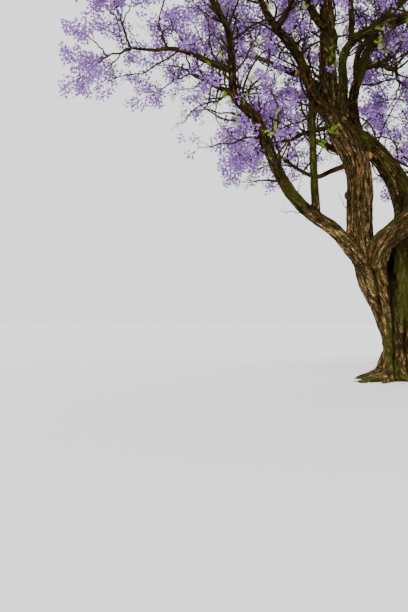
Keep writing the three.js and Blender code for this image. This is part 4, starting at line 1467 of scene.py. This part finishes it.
def copiesOf(pattern, spots, headings, sizes, tints):
    # Many small copies of one shape joined into a mesh, each turned by chance
    # Each tint stands for a pair of materials
    shape = coordinatesOf(pattern)
    frames = framesFor(headings, chance.uniform(0, math.tau, len(spots))) * sizes[:, None, None]
    placed = np.einsum("mij,nj->mni", frames, shape) + spots[:, None, :]
    order = np.arange(len(spots))[:, None]
    corners = numbersOf(pattern.loops, "vertex_index") + order * len(shape)
    starts = numbersOf(pattern.polygons, "loop_start") + order * len(pattern.loops)
    kinds = numbersOf(pattern.polygons, "material_index") + 2 * tints[:, None]
    mesh = bpy.data.meshes.new("copies")
    mesh.vertices.add(placed.size // 3)
    mesh.vertices.foreach_set("co", placed.astype(np.float32).ravel())
    mesh.loops.add(corners.size)
    mesh.loops.foreach_set("vertex_index", corners.astype(np.int32).ravel())
    mesh.polygons.add(starts.size)
    mesh.polygons.foreach_set("loop_start", starts.astype(np.int32).ravel())
    mesh.polygons.foreach_set("material_index", kinds.astype(np.int32).ravel())
    mesh.update(calc_edges=True)
    bpy.data.meshes.remove(pattern)
    return mesh


def bloom():
    feet, headings, lengths, groups = (np.array(part) for part in zip(*panicles))
    count = spraying["flowers"]
    tone = noiseAt(feet, 0.55) * 1.5 + chance.uniform(-0.5, 0.5, len(feet))
    tints = np.digitize(tone, petalLook["toneSteps"])
    steps = (np.arange(count) + 0.5) / count
    turns = np.arange(count) * leafTurn + chance.uniform(0, math.tau, (len(feet), 1))
    frames = framesFor(headings, np.zeros(len(feet)))
    sides, ups = frames[:, None, :, 0], frames[:, None, :, 1]
    radial = sides * np.cos(turns)[..., None] + ups * np.sin(turns)[..., None]
    outward = spraying["panicleWidth"] / 2 * (1 - 0.5 * steps)[None, :, None]
    spots = feet[:, None] + headings[:, None] * (lengths[:, None] * steps)[..., None] + radial * outward
    ways = radial * 0.85 + headings[:, None] * 0.4 - upward * 0.25 + chance.normal(size=spots.shape) * 0.25
    ways /= np.linalg.norm(ways, axis=2)[..., None]
    sizes = chance.uniform(*spraying["flowerSize"], len(feet) * count)
    spots, ways = spots.reshape(-1, 3), ways.reshape(-1, 3)
    groups, tints = np.repeat(groups, count), np.repeat(tints, count)
    kept = insideBox(spots + ways * sizes[:, None], "flowers")
    materials = []
    for i, (throat, lobe) in enumerate(petalLook["tones"]):
        materials.append(thinMaterial("throat_" + str(i + 1), throat, petalLook))
        materials.append(thinMaterial("lobe_" + str(i + 1), lobe, petalLook))
    for order, name in enumerate(blossomPieces):
        chosen = kept & (groups == order)
        mesh = copiesOf(flowerPattern(), spots[chosen], ways[chosen], sizes[chosen], tints[chosen])
        nodes = [mass.name + "_blossom" for mass in crown if mass.group == order]
        addPiece("blossom_" + name, mesh, materials, nodes)


def leafOut():
    feet, headings, sizes = (np.array(part) for part in zip(*leaves))
    kept = insideBox(feet + headings * sizes[:, None], "leaves")
    mesh = copiesOf(leafPattern(), feet[kept], headings[kept], sizes[kept], np.zeros(kept.sum(), int))
    addPiece("fresh_leaves", mesh, [thinMaterial("fresh_leaf", leafLook["tone"], leafLook)])


bloom()
leafOut()

# Light

studio = {
    "skyTone": (0.93, 0.94, 0.97),
    "skyStrength": 1.7,
    "floorTone": (0.54, 0.545, 0.553),
    "floorRadius": 600,
    "lamps": [
        ("key", (-17, -20, 21), 30, 4.8), # where it shines from, how wide it is in degrees, strength
        ("fill", (17, -19, 9), 50, 0.9),
        ("back", (4, 22, 17), 50, 1.8),
    ],
}


def lightStudio():
    world = bpy.data.worlds.new("soft sky")
    bpy.context.scene.world = world
    world.use_nodes = True
    background = world.node_tree.nodes["Background"]
    background.inputs["Color"].default_value = (*studio["skyTone"], 1)
    background.inputs["Strength"].default_value = studio["skyStrength"]
    for name, place, width, strength in studio["lamps"]:
        lamp = bpy.data.lights.new(name, "SUN")
        lamp.angle = math.radians(width)
        lamp.energy = strength
        holder = bpy.data.objects.new(name, lamp)
        holder.location = place
        holder.rotation_euler = Vector(place).to_track_quat("Z", "Y").to_euler()
        bpy.context.scene.collection.objects.link(holder)
    bm = bmesh.new()
    bmesh.ops.create_circle(bm, cap_ends=True, segments=96, radius=studio["floorRadius"])
    mesh = meshFrom(bm, "floor")
    material, tree, shader = newMaterial("pale_floor", 0.9)
    shader.inputs["Base Color"].default_value = (*studio["floorTone"], 1)
    mesh.materials.append(material)
    floor = bpy.data.objects.new("floor", mesh)
    bpy.context.scene.collection.objects.link(floor)


lightStudio()
print("light set")
